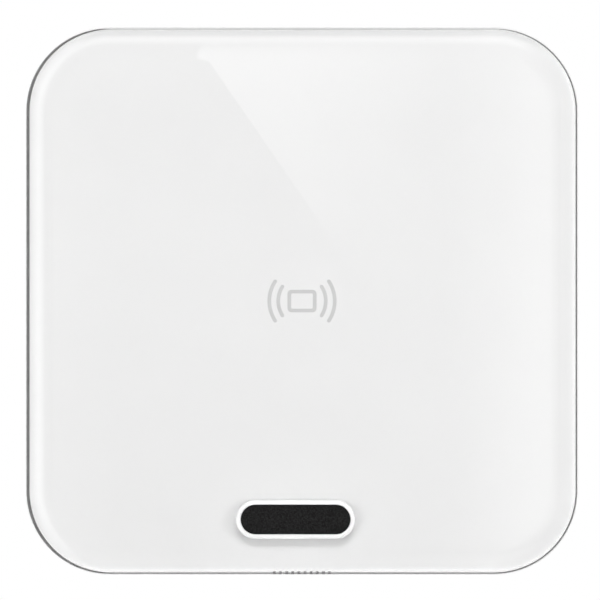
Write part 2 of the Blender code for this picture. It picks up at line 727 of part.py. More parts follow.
def add_guide_window(bm, back, front):
    window = [size + 2 * WINDOW_CLEARANCE for size in guide_size()]
    add_block(bm, (0.0, 0.0), *window, back - BITE, front + BITE, GUIDE_RADIUS + WINDOW_CLEARANCE)


def antenna(front):
    bm = bmesh.new()
    add_panel(bm, [(antenna_inset, antenna_back), (antenna_inset, antenna_front)])
    board = piece("antenna_board", bm, material("antenna_green", (0.03, 0.2, 0.1), 0.45), front)
    bm = bmesh.new()
    add_guide_window(bm, antenna_back, antenna_front)
    boolean(board, "antenna_window", bm, "DIFFERENCE")
    ferrite_inset = antenna_inset + FERRITE_SETBACK
    bm = bmesh.new()
    add_panel(bm, [(ferrite_inset, ferrite_back), (ferrite_inset, ferrite_front)])
    sheet = piece("ferrite_sheet", bm, material("ferrite", (0.06, 0.06, 0.065), 0.7), front)
    pins = {"antenna_pin_left": -PIN_SPACING / 2, "antenna_pin_right": PIN_SPACING / 2}
    bm = bmesh.new()
    add_guide_window(bm, ferrite_back, ferrite_front)
    for x in pins.values():
        axis = depth_axis(x, -PIN_DROP)
        add_rod(bm, axis, PIN_RADIUS + SEAT_GAP, ferrite_back - BITE, ferrite_front + BITE)
    boolean(sheet, "ferrite_windows", bm, "DIFFERENCE")
    gold = material("pin_gold", (0.85, 0.62, 0.25), 0.3, metallic=1.0)
    profile = [(PIN_COLLAR_RADIUS, 0.0), (PIN_COLLAR_RADIUS, PIN_COLLAR_HEIGHT)]
    profile += [(PIN_RADIUS, PIN_COLLAR_HEIGHT), (PIN_RADIUS, antenna_back - BOND_GAP - parts_back)]
    bm = bmesh.new()
    add_turned(bm, depth_axis(0.0, 0.0), profile)
    mesh = mesh_from("antenna_pin", bm)
    for name, x in pins.items():
        placed(name, mesh, gold, front, spot(x, parts_back, -PIN_DROP))


def antenna_coil(front):
    """One flat track that winds inwards along the antenna board's outline."""
    path = []
    steps = len(panel_outline(antenna_inset))
    outer_turn = antenna_inset + COIL_MARGIN + COIL_TRACK / 2
    for turn in range(COIL_TURNS):
        for step in range(steps):
            path.append(panel_outline(outer_turn + (turn + step / steps) * COIL_PITCH)[step])
    gaps = [(Vector(a) - Vector(b)).length - COIL_TRACK for a, b in zip(path, path[steps:])]
    print(f"antenna_coil: least gap to itself {min(gaps) / MM:.2f} mm")
    bm = bmesh.new()
    add_strip(bm, path, COIL_TRACK, coil_back, coil_front)
    piece("antenna_coil", bm, material("copper", (0.8, 0.4, 0.22), 0.35, metallic=1.0), front)


def terminal_block(front):
    place = (0.0, TERMINAL_RISE)
    shoulder = cover_back - SEAT_GAP
    back = shoulder - TERMINAL_HEIGHT
    body = rounded_outline(TERMINAL_POLES * TERMINAL_PITCH, TERMINAL_LENGTH, SHARP_CORNER, place)
    foot = rounded_outline(*terminal_foot_size(), SHARP_CORNER, place)
    rings = [(body, back), (body, shoulder), (foot, shoulder), (foot, board_back - BOND_GAP)]
    bm = bmesh.new()
    add_rings(bm, [at_depth(outline, depth) for outline, depth in rings])
    block = piece("terminal_block", bm, material("terminal_grey", (0.2, 0.22, 0.24), 0.5), front)
    poles = [(pole - (TERMINAL_POLES - 1) / 2) * TERMINAL_PITCH for pole in range(TERMINAL_POLES)]
    screw_back = back + TERMINAL_SCREW_SINK
    well_floor = screw_back + TERMINAL_SCREW_LENGTH + BOND_GAP
    bm = bmesh.new()
    for x in poles:
        axis = depth_axis(x, TERMINAL_RISE)
        add_rod(bm, axis, TERMINAL_SCREW_RADIUS + SEAT_GAP, back - BITE, well_floor)
    boolean(block, "terminal_wells", bm, "DIFFERENCE")
    entry = TERMINAL_RISE - TERMINAL_LENGTH / 2
    bm = bmesh.new()
    for x in poles:
        axis = height_axis(x, (well_floor + shoulder) / 2)
        add_rod(bm, axis, WIRE_HOLE_RADIUS, entry - BITE, entry + WIRE_HOLE_DEPTH)
    boolean(block, "terminal_wire_holes", bm, "DIFFERENCE")
    brass = material("clamp_brass", (0.75, 0.6, 0.3), 0.35, metallic=1.0)
    socket = (TERMINAL_SOCKET_RADIUS, TERMINAL_SOCKET_DEPTH)
    mesh = headless_screw_mesh("terminal_screw", TERMINAL_SCREW_RADIUS, TERMINAL_SCREW_LENGTH, *socket)
    for number, x in enumerate(poles, 1):
        placed(f"terminal_screw_{number}", mesh, brass, front, spot(x, screw_back, TERMINAL_RISE))


def tamper_switch(front, plunger):
    bm = bmesh.new()
    add_block(bm, (SWITCH_X, SWITCH_Z), SWITCH_WIDTH, SWITCH_LENGTH, switch_back, switch_front)
    switch = piece("tamper_switch", bm, material("switch_black", (0.03, 0.03, 0.03), 0.5), front)
    floor = plunger_front + PLUNGER_TRAVEL + PLUNGER_CLEARANCE
    bm = bmesh.new()
    axis = depth_axis(SWITCH_X, SWITCH_Z)
    add_rod(bm, axis, PLUNGER_RADIUS + PLUNGER_CLEARANCE, switch_back - BITE, floor)
    boolean(switch, "switch_bore", bm, "DIFFERENCE")
    profile = [(PLUNGER_RADIUS - PLUNGER_TIP, 0.0), (PLUNGER_RADIUS, PLUNGER_TIP)]
    profile.append((PLUNGER_RADIUS, plunger_front - plunger_back))
    bm = bmesh.new()
    add_turned(bm, depth_axis(0.0, 0.0), profile)
    red = material("plunger_red", (0.55, 0.05, 0.04), 0.4)
    placed("tamper_plunger", mesh_from("tamper_plunger", bm), red, plunger, plunger.location)


def lock(front, screw):
    inner = LOCK_SCREW_RADIUS + THREAD_CLEARANCE
    outer = inner + INSERT_WALL
    foot = lock_boss_top - INSERT_LENGTH
    profile = [(inner, foot), (outer, foot), (outer, lock_boss_top), (inner, lock_boss_top)]
    bm = bmesh.new()
    add_turned(bm, height_axis(0.0, lock_depth), profile, closed=True)
    piece("lock_insert", bm, material("insert_brass", (0.75, 0.58, 0.28), 0.35, metallic=1.0), front)
    steel = material("lock_steel", (0.3, 0.3, 0.31), 0.35, metallic=1.0)
    length = lock_boss_top - lock_screw_foot
    mesh = headless_screw_mesh("lock_screw", LOCK_SCREW_RADIUS, length, LOCK_SOCKET_RADIUS, LOCK_SOCKET_DEPTH)
    placed("lock_screw", mesh, steel, screw, screw.location, turn=(-math.pi / 2, 0.0, 0.0))


def wall_plate(wall):
    step_inset = plate_inset + WALL_SEAL_WIDTH
    profile = [(step_inset, 0.0), (step_inset, WALL_SEAL_DEPTH)]
    profile += [(plate_inset, WALL_SEAL_DEPTH), (plate_inset, PLATE_THICKNESS)]
    bm = bmesh.new()
    add_panel(bm, profile)
    plate = piece("wall_plate", bm, material("plate_grey", (0.5, 0.51, 0.52), 0.5), wall)
    tab_foot = lock_boss_top + LOCK_TAB_GAP
    tab_top = tab_foot + LOCK_TAB_THICKNESS
    add_hooks_and_tab(plate, tab_foot, tab_top)
    cut_plate_holes(plate, tab_foot, tab_top)
    bm = bmesh.new()
    edges = (plate_inset + BOND_GAP, step_inset - BOND_GAP)
    add_panel(bm, frame_profile(*edges, BOND_GAP, WALL_SEAL_DEPTH - BOND_GAP), closed=True)
    piece("wall_seal", bm, material("foam_black", (0.03, 0.03, 0.03), 0.9), wall)


def add_hooks_and_tab(plate, tab_foot, tab_top):
    """Two hooks that the frame's ribs drop behind, and the tab that the lock screw enters."""
    root_back = PLATE_THICKNESS - BITE
    hook_back = SKIRT_GAP + RIB_THICKNESS + HOOK_CLEARANCE
    hook_front = hook_back + HOOK_THICKNESS
    shelf = plate_top - BOND_GAP
    hook = [
        (root_back, plate_top - HOOK_ROOT_HEIGHT),
        (hook_front, plate_top - HOOK_ROOT_HEIGHT),
        (hook_front, inner_top - HOOK_CLEARANCE),
        (hook_back, inner_top - HOOK_CLEARANCE),
        (hook_back, shelf),
        (root_back, shelf),
    ]
    bm = bmesh.new()
    for side in (-1, 1):
        add_bar(bm, side * HOOK_SPACING / 2, HOOK_WIDTH, hook)
    add_bar(bm, 0.0, LOCK_TAB_WIDTH, rectangle(root_back, cover_back - TAB_CLEARANCE, tab_foot, tab_top))
    boolean(plate, "plate_hooks", bm, "UNION")


def cut_plate_holes(plate, tab_foot, tab_top):
    """The lock screw's hole, two screw slots, and the stepped hole of the cable grommet."""
    bm = bmesh.new()
    lock_axis = height_axis(0.0, lock_depth)
    add_rod(bm, lock_axis, LOCK_SCREW_RADIUS + SEAT_GAP, tab_foot - BITE, tab_top + BITE)
    slot_x = PANEL_WIDTH / 2 - plate_inset - SLOT_EDGE_DISTANCE
    for side in (-1, 1):
        through = (-BITE, PLATE_THICKNESS + BITE)
        add_block(bm, (side * slot_x, 0.0), 2 * SLOT_RADIUS, SLOT_LENGTH, *through, SLOT_RADIUS)
    recess_radius = CABLE_HOLE_RADIUS + GROMMET_LIP_WIDTH + SEAT_GAP
    recess_floor = GROMMET_LIP_THICKNESS + SEAT_GAP
    profile = [(recess_radius, -BITE), (recess_radius, recess_floor)]
    profile += [(CABLE_HOLE_RADIUS, recess_floor), (CABLE_HOLE_RADIUS, PLATE_THICKNESS + BITE)]
    add_turned(bm, depth_axis(0.0, -CABLE_DROP), profile, LARGE_SIDES)
    boolean(plate, "plate_holes", bm, "DIFFERENCE")


def cable_grommet(wall):
    lip = CABLE_HOLE_RADIUS + GROMMET_LIP_WIDTH
    neck = CABLE_HOLE_RADIUS - BOND_GAP
    back_lip = BOND_GAP + GROMMET_LIP_THICKNESS
    front_lip = PLATE_THICKNESS + BOND_GAP
    face = front_lip + GROMMET_LIP_THICKNESS
    profile = [(CABLE_BORE_RADIUS, BOND_GAP), (lip, BOND_GAP), (lip, back_lip), (neck, back_lip)]
    profile += [(neck, front_lip), (lip, front_lip), (lip, face), (CABLE_BORE_RADIUS, face)]
    bm = bmesh.new()
    add_turned(bm, depth_axis(0.0, -CABLE_DROP), profile, LARGE_SIDES, closed=True)
    piece("cable_grommet", bm, material("grommet_rubber", (0.025, 0.025, 0.025), 0.8), wall)


def main():
    clear_scene()
    wall = carrier("wall_mount", Vector())
    front = carrier("front_unit", spot(0.0, hinge_depth, hinge_height))
    screw = carrier("lock_screw_axis", spot(0.0, lock_depth, lock_screw_foot))
    plunger = carrier("tamper_plunger_axis", spot(SWITCH_X, plunger_back, SWITCH_Z))
    wall_plate(wall)
    cable_grommet(wall)
    front_frame(front)
    rear_cover(front)
    main_board(front)
    board_parts(front)
    lights_and_guide(front)
    antenna(front)
    antenna_coil(front)
    terminal_block(front)
    tamper_switch(front, plunger)
    lock(front, screw)
    film_and_tape(front)
    reader_sign(front)
    glass_panel(front)
    badge(front)


main()
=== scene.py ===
"""Looks of a contactless wall reader: finer pieces, materials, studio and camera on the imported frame."""

import math

import bmesh
import bpy
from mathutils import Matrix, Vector


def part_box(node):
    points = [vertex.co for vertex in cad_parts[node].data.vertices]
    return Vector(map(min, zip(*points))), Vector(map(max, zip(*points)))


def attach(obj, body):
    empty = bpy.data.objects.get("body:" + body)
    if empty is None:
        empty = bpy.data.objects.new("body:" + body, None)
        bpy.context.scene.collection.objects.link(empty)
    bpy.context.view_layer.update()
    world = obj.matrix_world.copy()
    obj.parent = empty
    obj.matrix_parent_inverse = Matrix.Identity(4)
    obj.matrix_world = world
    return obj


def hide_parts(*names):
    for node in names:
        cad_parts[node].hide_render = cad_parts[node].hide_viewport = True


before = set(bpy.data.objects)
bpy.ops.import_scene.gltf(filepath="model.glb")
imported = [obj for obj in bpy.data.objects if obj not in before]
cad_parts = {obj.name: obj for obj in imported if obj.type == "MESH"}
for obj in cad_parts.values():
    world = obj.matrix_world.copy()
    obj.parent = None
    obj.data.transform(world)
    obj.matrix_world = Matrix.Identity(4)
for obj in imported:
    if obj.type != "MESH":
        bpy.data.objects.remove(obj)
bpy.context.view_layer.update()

MM = 0.001
FRONT = "front_unit"
WALL = "wall_mount"

# Roundness of the finer meshes
CORNER_STEPS = 28
ROLL_STEPS = 20
EDGE_STEPS = 6
EASE_STEPS = 4
EASE_SHARE = 0.45
BEVEL_STEPS = 3
CAP_STEPS = 12
SMALL_SIDES = 36
LARGE_SIDES = 96
SMOOTH_ANGLE = math.radians(28.0)

# Clearances shared by the pieces, and how far a joined or cutting shape reaches past a face
BOND_GAP = 0.1 * MM
SEAT_GAP = 0.3 * MM
BITE = 0.5 * MM

# Glass, film and sign
PANEL_RADIUS = 12.3 * MM
GLASS_ROLL_WIDTH = 4.0 * MM
GLASS_ROLL_DEPTH = 1.6 * MM
GLASS_FACE_RING = 1.0 * MM
GLASS_ARRIS = 0.3 * MM
GLASS_INDEX = 1.5
GLASS_MOTTLE = 9 * MM
GLASS_TINTS = (0.988, 0.992)
# The clear rim's width on each side of the film, and the radius of the film's corners
RIM_LEFT = 0.98 * MM
RIM_RIGHT = 0.9 * MM
RIM_TOP = 0.88 * MM
RIM_FOOT = 0.89 * MM
FILM_RADIUS = 11.35 * MM
NOTCH_COUNT = 10
NOTCH_PITCH = 0.9 * MM
NOTCH_WIDTH = 0.4 * MM
NOTCH_RISE = 0.075 * MM
PRINT_GAP = 0.005 * MM
PRINT_THICKNESS = 0.02 * MM
SIGN_STROKE = 0.54 * MM
CARD_RADIUS = 0.62 * MM
CARD_HOLE_RADIUS = 0.2 * MM
WAVE_CENTRE_OFFSET = 0.48 * MM
WAVE_RADII = {"inner": 3.97 * MM, "outer": 5.28 * MM}
WAVE_HALF_ANGLE = math.radians(36.2)

# Badge
BADGE_EDGE_ROUND = 0.3 * MM
BADGE_RIM = 0.64 * MM
BADGE_RIM_ROUND = 0.06 * MM
BADGE_POCKET = 0.4 * MM
INLAY_ROUND = 0.04 * MM
INLAY_INSET = -0.09 * MM
# A black pad under the badge plate darkens the shade round the badge: painted shade
BADGE_SHADE_PAD_INSET = 0.15 * MM
BADGE_SHADE_PAD_GAP = 0.01 * MM

# Front frame
FRAME_WALL = 2.0 * MM
FRAME_BACK_ROUND = 0.5 * MM
FRAME_FRONT_ROUND = 0.3 * MM
FLANGE_THICKNESS = 1.6 * MM
TAPE_SETBACK = 0.2 * MM
ANTENNA_CLEARANCE = 0.4 * MM
COVER_BOSS_RADIUS = 2.3 * MM
RIB_THICKNESS = 1.4 * MM
RIB_HEIGHT = 1.4 * MM
LOCK_BOSS_WALL = 0.55 * MM
LOCK_BOSS_WIDTH = 8.0 * MM
LOCK_MOUTH = 0.4 * MM

# Rear cover and what stands on it
COVER_ROUND = 0.35 * MM
SEAL_WIDTH = 1.4 * MM
POST_RADIUS = 2.2 * MM
BOARD_SCREW_COUNT = 4
STATUS_LIGHT_COUNT = 4
COVER_SCREW_COUNT = 4
COVER_SCREW_RADIUS = 1.1 * MM
COVER_HEAD_HEIGHT = 1.2 * MM
COVER_HEAD_WALL = 0.5 * MM
COVER_SOCKET_RADIUS = 1.0 * MM
COVER_SOCKET_DEPTH = 0.7 * MM
SCREW_EDGE = 0.25 * MM
SOCKET_CHAMFER = 0.12 * MM
TERMINAL_FOOT_LENGTH = 5.0 * MM
TERMINAL_SHOULDER = 0.8 * MM
TERMINAL_HEIGHT = 5.0 * MM
TERMINAL_POLES = 4
TERMINAL_EDGE = 0.25 * MM
TERMINAL_GROOVE = 0.3 * MM
TERMINAL_SOCKET_RADIUS = 0.6 * MM
TERMINAL_SOCKET_DEPTH = 0.8 * MM
WIRE_HOLE_RADIUS = 1.0 * MM
WIRE_HOLE_DEPTH = 4.5 * MM
WIRE_FUNNEL = 0.35 * MM
SWITCH_EDGE = 0.3 * MM
PLUNGER_CLEARANCE = 0.2 * MM
PLUNGER_TRAVEL = 0.8 * MM
PLUNGER_DOME = 0.6 * MM
LOCK_SOCKET_RADIUS = 0.75 * MM
LOCK_SOCKET_DEPTH = 1.2 * MM
THREAD_PITCH = 0.45 * MM
THREAD_DEPTH = 0.2 * MM
THREAD_STEPS = 8

# Wall plate, seal and grommet
PLATE_THICKNESS = 2.0 * MM
PLATE_ROUND = 0.3 * MM
WALL_SEAL_WIDTH = 2.5 * MM
WALL_SEAL_ROUND = 0.35 * MM
HOOK_WIDTH = 10.0 * MM
HOOK_SPACING = 30.0 * MM
HOOK_THICKNESS = 1.6 * MM
HOOK_ROOT_HEIGHT = 2.4 * MM
HOOK_CLEARANCE = 0.4 * MM
HOOK_ROUND = 0.25 * MM
LOCK_TAB_GAP = 0.5 * MM
LOCK_TAB_THICKNESS = 2.0 * MM
LOCK_TAB_WIDTH = 10.0 * MM
SLOT_EDGE_DISTANCE = 6.15 * MM
SLOT_RADIUS = 2.0 * MM
SLOT_LENGTH = 9.0 * MM
SLOT_SINK = 0.7 * MM
CABLE_HOLE_RADIUS = 5.5 * MM
CABLE_BORE_RADIUS = 4.0 * MM
GROMMET_LIP_THICKNESS = 0.7 * MM
GROMMET_ROUND = 0.25 * MM
ARROW_HEIGHT = 9.0 * MM
ARROW_PLACE = 23.0 * MM
ARROW_SINK = 0.3 * MM
# The arrow's right half, from its tip down, in sixths of its height
ARROW_HALF = [(0.0, 3.0), (2.0, 0.6), (0.7, 0.6), (0.7, -3.0)]

# Materials: the span that noise mostly stays in, and the detail of coarse and fine noise
NOISE_SPAN = (0.3, 0.7)
MOTTLE_DETAIL = 2.0
GRAIN_DETAIL = 3.0

# Ways that the studio is read along
RIGHT, LEFT = (1.0, 0.0, 0.0), (-1.0, 0.0, 0.0)
UP, DOWN = (0.0, 0.0, 1.0), (0.0, 0.0, -1.0)
FORWARD = (0.0, -1.0, 0.0)
UPPER_LEFT, LOWER_LEFT = (-0.71, 0.0, 0.71), (-0.4, 0.0, -0.9)

# Lamps in front: the middle and the half sizes of a patch of directions, and its strength
LAMPS = [
    ((0.0, 0.02), (0.07, 0.07), 110.0),
    ((0.02, 0.38), (0.23, 0.14), 18.5),
    ((0.5, 0.05), (0.19, 0.14), 9.3),
    ((-0.34, 0.05), (0.3, 0.14), 7.5),
]
LAMP_CORE = 0.4

# Light from all round, where it fades towards the front, and its smaller share at the back
AROUND_STRENGTH = 1.6
AROUND_FADE = (0.2, 0.4)
BACK_SHARE = 0.6
BACK_FADE = (-0.5, 0.0)

# What the glass mirrors, as (place along a way, added brightness) stops. The two boxes' places are the
# distance from the panel's axis
SOFT_BOX = [
    (0.1, 0.0), (0.2, 0.1), (0.33, 0.5), (0.42, 1.3), (0.5, 2.0), (0.57, 1.9), (0.66, 1.4), (0.72, 0.8),
    (0.85, 0.2), (1.0, 0.0),
]
LOW_BOX = [(0.65, 0.0), (0.74, 0.3), (0.82, 0.85), (0.9, 1.5), (1.0, 1.7)]
BOX_BLEND = 0.35
STRIP = [(0.045, 0.0), (0.07, 0.75), (0.14, 0.75), (0.21, 0.5), (0.3, 0.05), (0.35, 0.0)]
GLOW = [(0.056, 0.0), (0.075, 0.22), (0.2, 0.22), (0.35, 0.0)]
LOW_SHADE = [(0.1, 0.0), (0.2, 0.4), (0.55, 0.5), (0.75, 0.6), (0.9, 0.0)]
CORNER_SHADE = [(0.01, 0.0), (0.08, 0.3), (0.15, 0.3), (0.25, 0.0)]
TOP_SHADE = 1.3
TOP_SHADE_SPAN = (0.6, 0.76)
SCREEN_FADE = (0.0, 0.1)

# The slanted pane whose glare crosses the glass
PANE_SLANT = 0.692
PANE_TOP = 0.0765
PANE_EDGE = (0.0218, 0.0225)
PANE_STRENGTH = 1.5
PANE_RISE = (0.0, 0.075)
PANE_REACH = (0.0, 0.06)
PANE_CEILING = (0.1, 0.5)

# Floor and camera
FLOOR_RADIUS = 0.155
FLOOR_HEIGHT = -0.06
FLOOR_GREY = 0.9
FLOOR_GLOW = 0.7
CAMERA_LENS = 200.0
CAMERA_SENSOR = 36.0
CAMERA_PLACE = (-0.29 * MM, -0.5057, 0.15 * MM)


def numbered(name, count):
    return [f"{name}_{number}" for number in range(1, count + 1)]


class Box:
    """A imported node's extent, with depths counted from the wall towards the viewer."""

    def __init__(self, node):
        low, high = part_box(node)
        self.width, self.height = high.x - low.x, high.z - low.z
        self.x, self.z = (low.x + high.x) / 2, (low.z + high.z) / 2
        self.right, self.foot, self.top = high.x, low.z, high.z
        self.back, self.front = -high.y, -low.y
        self.depth = (self.back + self.front) / 2
        self.place = (self.x, self.z)


def inset_of(box):
    """How far a node's outline lies inside the panel's outline."""
    return PANEL.right - box.right


PANEL = Box("glass_panel")
FRAME = Box("front_frame")
COVER = Box("rear_cover")
SEAL = Box("cover_seal")
PLATE = Box("wall_plate")
LOCK = Box("lock_screw")
INSERT = Box("lock_insert")
GROMMET = Box("cable_grommet")
COVER_SCREWS = [Box(node) for node in numbered("cover_screw", COVER_SCREW_COUNT)]
BOARD_SCREWS = [Box(node) for node in numbered("board_screw", BOARD_SCREW_COUNT)]
CLAMP_SCREWS = [Box(node) for node in numbered("terminal_screw", TERMINAL_POLES)]

inner_wall_inset = inset_of(FRAME) + FRAME_WALL
inner_top = PANEL.top - inner_wall_inset
flange_inset = inset_of(Box("antenna_board")) - ANTENNA_CLEARANCE
flange_back = FRAME.front - FLANGE_THICKNESS
cover_front = SEAL.front


def spot(x, depth, z):
    """A point that stands this far in front of the wall."""
    return Vector((x, -depth, z))


def rounded_outline(width, height, radius, place=(0.0, 0.0), steps=CORNER_STEPS):
    """Points (x, z) of a rectangle with round corners, anticlockwise from the upper right corner."""
    points = []
    for quarter, (side_x, side_z) in enumerate(((1, 1), (-1, 1), (-1, -1), (1, -1))):
        middle_x = place[0] + side_x * (width / 2 - radius)
        middle_z = place[1] + side_z * (height / 2 - radius)
        for step in range(steps + 1):
            angle = math.pi / 2 * (quarter + step / steps)
            points.append((middle_x + radius * math.cos(angle), middle_z + radius * math.sin(angle)))
    return points


def panel_outline(inset):
    """The panel's outline, moved in all round."""
    return rounded_outline(PANEL.width - 2 * inset, PANEL.height - 2 * inset, PANEL_RADIUS - inset)


def at_depth(outline, depth):
    return [spot(x, depth, z) for x, z in outline]


def rolled_edge(inset, face, width, depth, steps=EDGE_STEPS):
    """(inset, depth) pairs of a rounded-over edge, from the side of a plate to its face."""
    pairs = []
    for step in range(steps + 1):
        angle = math.pi / 2 * step / steps
        pairs.append((inset + width * (1 - math.cos(angle)), face - depth * (1 - math.sin(angle))))
    return pairs


def eased(corners, trim):
    """A closed polygon with each corner rounded off from this far before it to this far after it."""
    points = []
    for index, corner in enumerate(corners):
        middle = Vector(corner)
        before = Vector(corners[index - 1]) - middle
        after = Vector(corners[(index + 1) % len(corners)]) - middle
        start = middle + before.normalized() * min(trim, EASE_SHARE * before.length)
        end = middle + after.normalized() * min(trim, EASE_SHARE * after.length)
        for step in range(EASE_STEPS + 1):
            way = step / EASE_STEPS
            points.append(tuple(start * (1 - way) ** 2 + middle * 2 * way * (1 - way) + end * way ** 2))
    return points


def rectangle(back, front, foot, top):
    """The four corners of a section, as pairs."""
    return [(back, foot), (front, foot), (front, top), (back, top)]


def add_rings(bm, rings, closed=False):
    """Skins rings of equally many points. Open rings get end caps, closed ones join up again."""
    loops = [[bm.verts.new(point) for point in ring] for ring in rings]
    pairs = list(zip(loops, loops[1:]))
    if closed:
        pairs.append((loops[-1], loops[0]))
    else:
        bm.faces.new(loops[0])
        bm.faces.new(loops[-1])
    for first, second in pairs:
        for index, start in enumerate(first):
            after = (index + 1) % len(first)
            bm.faces.new((start, first[after], second[after], second[index]))


def panel_mesh(profile, closed=False):
    """A plate, or with closed a frame, along the panel's outline. The profile is (inset, depth) pairs."""
    bm = bmesh.new()
    add_rings(bm, [at_depth(panel_outline(inset), depth) for inset, depth in profile], closed)
    return bm


def add_slab(bm, outline, back, front):
    """A slab with an outline of (x, z) points, between two depths."""
    add_rings(bm, [at_depth(outline, back), at_depth(outline, front)])


def soften(bm, radius):
    """Rounds every sharp edge of a shape."""
    bmesh.ops.recalc_face_normals(bm, faces=bm.faces[:])
    edges = [edge for edge in bm.edges if edge.calc_face_angle() > SMOOTH_ANGLE]
    bmesh.ops.bevel(bm, geom=edges, offset=radius, segments=BEVEL_STEPS, profile=0.5, affect="EDGES")


def add_bar(bm, middle_x, width, section, round_edge=0.0):
    """A bar along X, with rounded edges if wanted. The section is (depth, height) pairs."""
    bar = bmesh.new()
    ends = (middle_x - width / 2, middle_x + width / 2)
    add_rings(bar, [[spot(x, depth, height) for depth, height in section] for x in ends])
    if round_edge:
        soften(bar, round_edge)
    mesh = mesh_from(bar)
    bm.from_mesh(mesh)
    bpy.data.meshes.remove(mesh)


def depth_axis(x, z):
    """Places a turned shape about a line through the wall at (x, z)."""
    return lambda a, b, along: spot(x + a, along, z + b)


def height_axis(x, depth):
    """Places a turned shape about an upright line."""
    return lambda a, b, along: spot(x + a, depth - b, along)


def circle(radius, sides):
    turns = [2 * math.pi * side / sides for side in range(sides)]
    return [(radius * math.cos(turn), radius * math.sin(turn)) for turn in turns]


def hexagon(radius, sides):
    """A hexagon of this inner radius, with as many points as a circle of that many sides."""
    points = []
    for x, z in circle(1.0, sides):
        reach = radius / math.cos(math.atan2(z, x) % (math.pi / 3) - math.pi / 6)
        points.append((reach * x, reach * z))
    return points


def on_axis(axis, ring, along):
    return [axis(a, b, along) for a, b in ring]


def turned_rings(axis, profile, sides=SMALL_SIDES):
    return [on_axis(axis, circle(radius, sides), along) for radius, along in profile]


def add_turned(bm, axis, profile, sides=SMALL_SIDES, closed=False):
    """A turned shape of (radius, along) pairs."""
    add_rings(bm, turned_rings(axis, profile, sides), closed)


def add_rod(bm, axis, radius, start, end):
    add_turned(bm, axis, [(radius, start), (radius, end)])


def socket_rings(axis, radius, mouth, floor):
    """Rings of a hexagon socket with a chamfered mouth, from its face inwards."""
    inwards = math.copysign(SOCKET_CHAMFER, floor - mouth)
    rings = [on_axis(axis, circle(radius / math.cos(math.pi / 6) + SOCKET_CHAMFER, SMALL_SIDES), mouth)]
    rings.append(on_axis(axis, hexagon(radius, SMALL_SIDES), mouth + inwards))
    rings.append(on_axis(axis, hexagon(radius, SMALL_SIDES), floor))
    return rings


def mesh_from(bm):
    bmesh.ops.recalc_face_normals(bm, faces=bm.faces[:])
    mesh = bpy.data.meshes.new("shape")
    bm.to_mesh(mesh)
    bm.free()
    return mesh


def combined(mesh, bm, operation):
    """The mesh joined with a shape (UNION), or with the shape cut out of it (DIFFERENCE)."""
    pair = []
    for data in (mesh, mesh_from(bm)):
        helper = bpy.data.objects.new("helper", data)
        bpy.context.scene.collection.objects.link(helper)
        pair.append(helper)
    modifier = pair[0].modifiers.new("combine", "BOOLEAN")
    modifier.operation = operation
    modifier.solver = "EXACT"
    modifier.object = pair[1]
    graph = bpy.context.evaluated_depsgraph_get()
    result = bpy.data.meshes.new_from_object(pair[0].evaluated_get(graph))
    for helper in pair:
        data = helper.data
        bpy.data.objects.remove(helper)
        bpy.data.meshes.remove(data)
    return result


def piece(name, bm, finish, body, nodes, joins=(), cuts=()):
    """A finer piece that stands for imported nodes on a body, with shapes joined to it or cut out of it."""
    mesh = mesh_from(bm)
    for shape in joins:
        mesh = combined(mesh, shape, "UNION")
    for shape in cuts:
        mesh = combined(mesh, shape, "DIFFERENCE")
    mesh.name = name
    mesh.shade_smooth()
    mesh.set_sharp_from_angle(angle=SMOOTH_ANGLE)
    mesh.materials.clear()
    mesh.materials.append(finish)
    made = bpy.data.objects.new(name, mesh)
    bpy.context.scene.collection.objects.link(made)
    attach(made, body)
    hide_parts(*nodes)


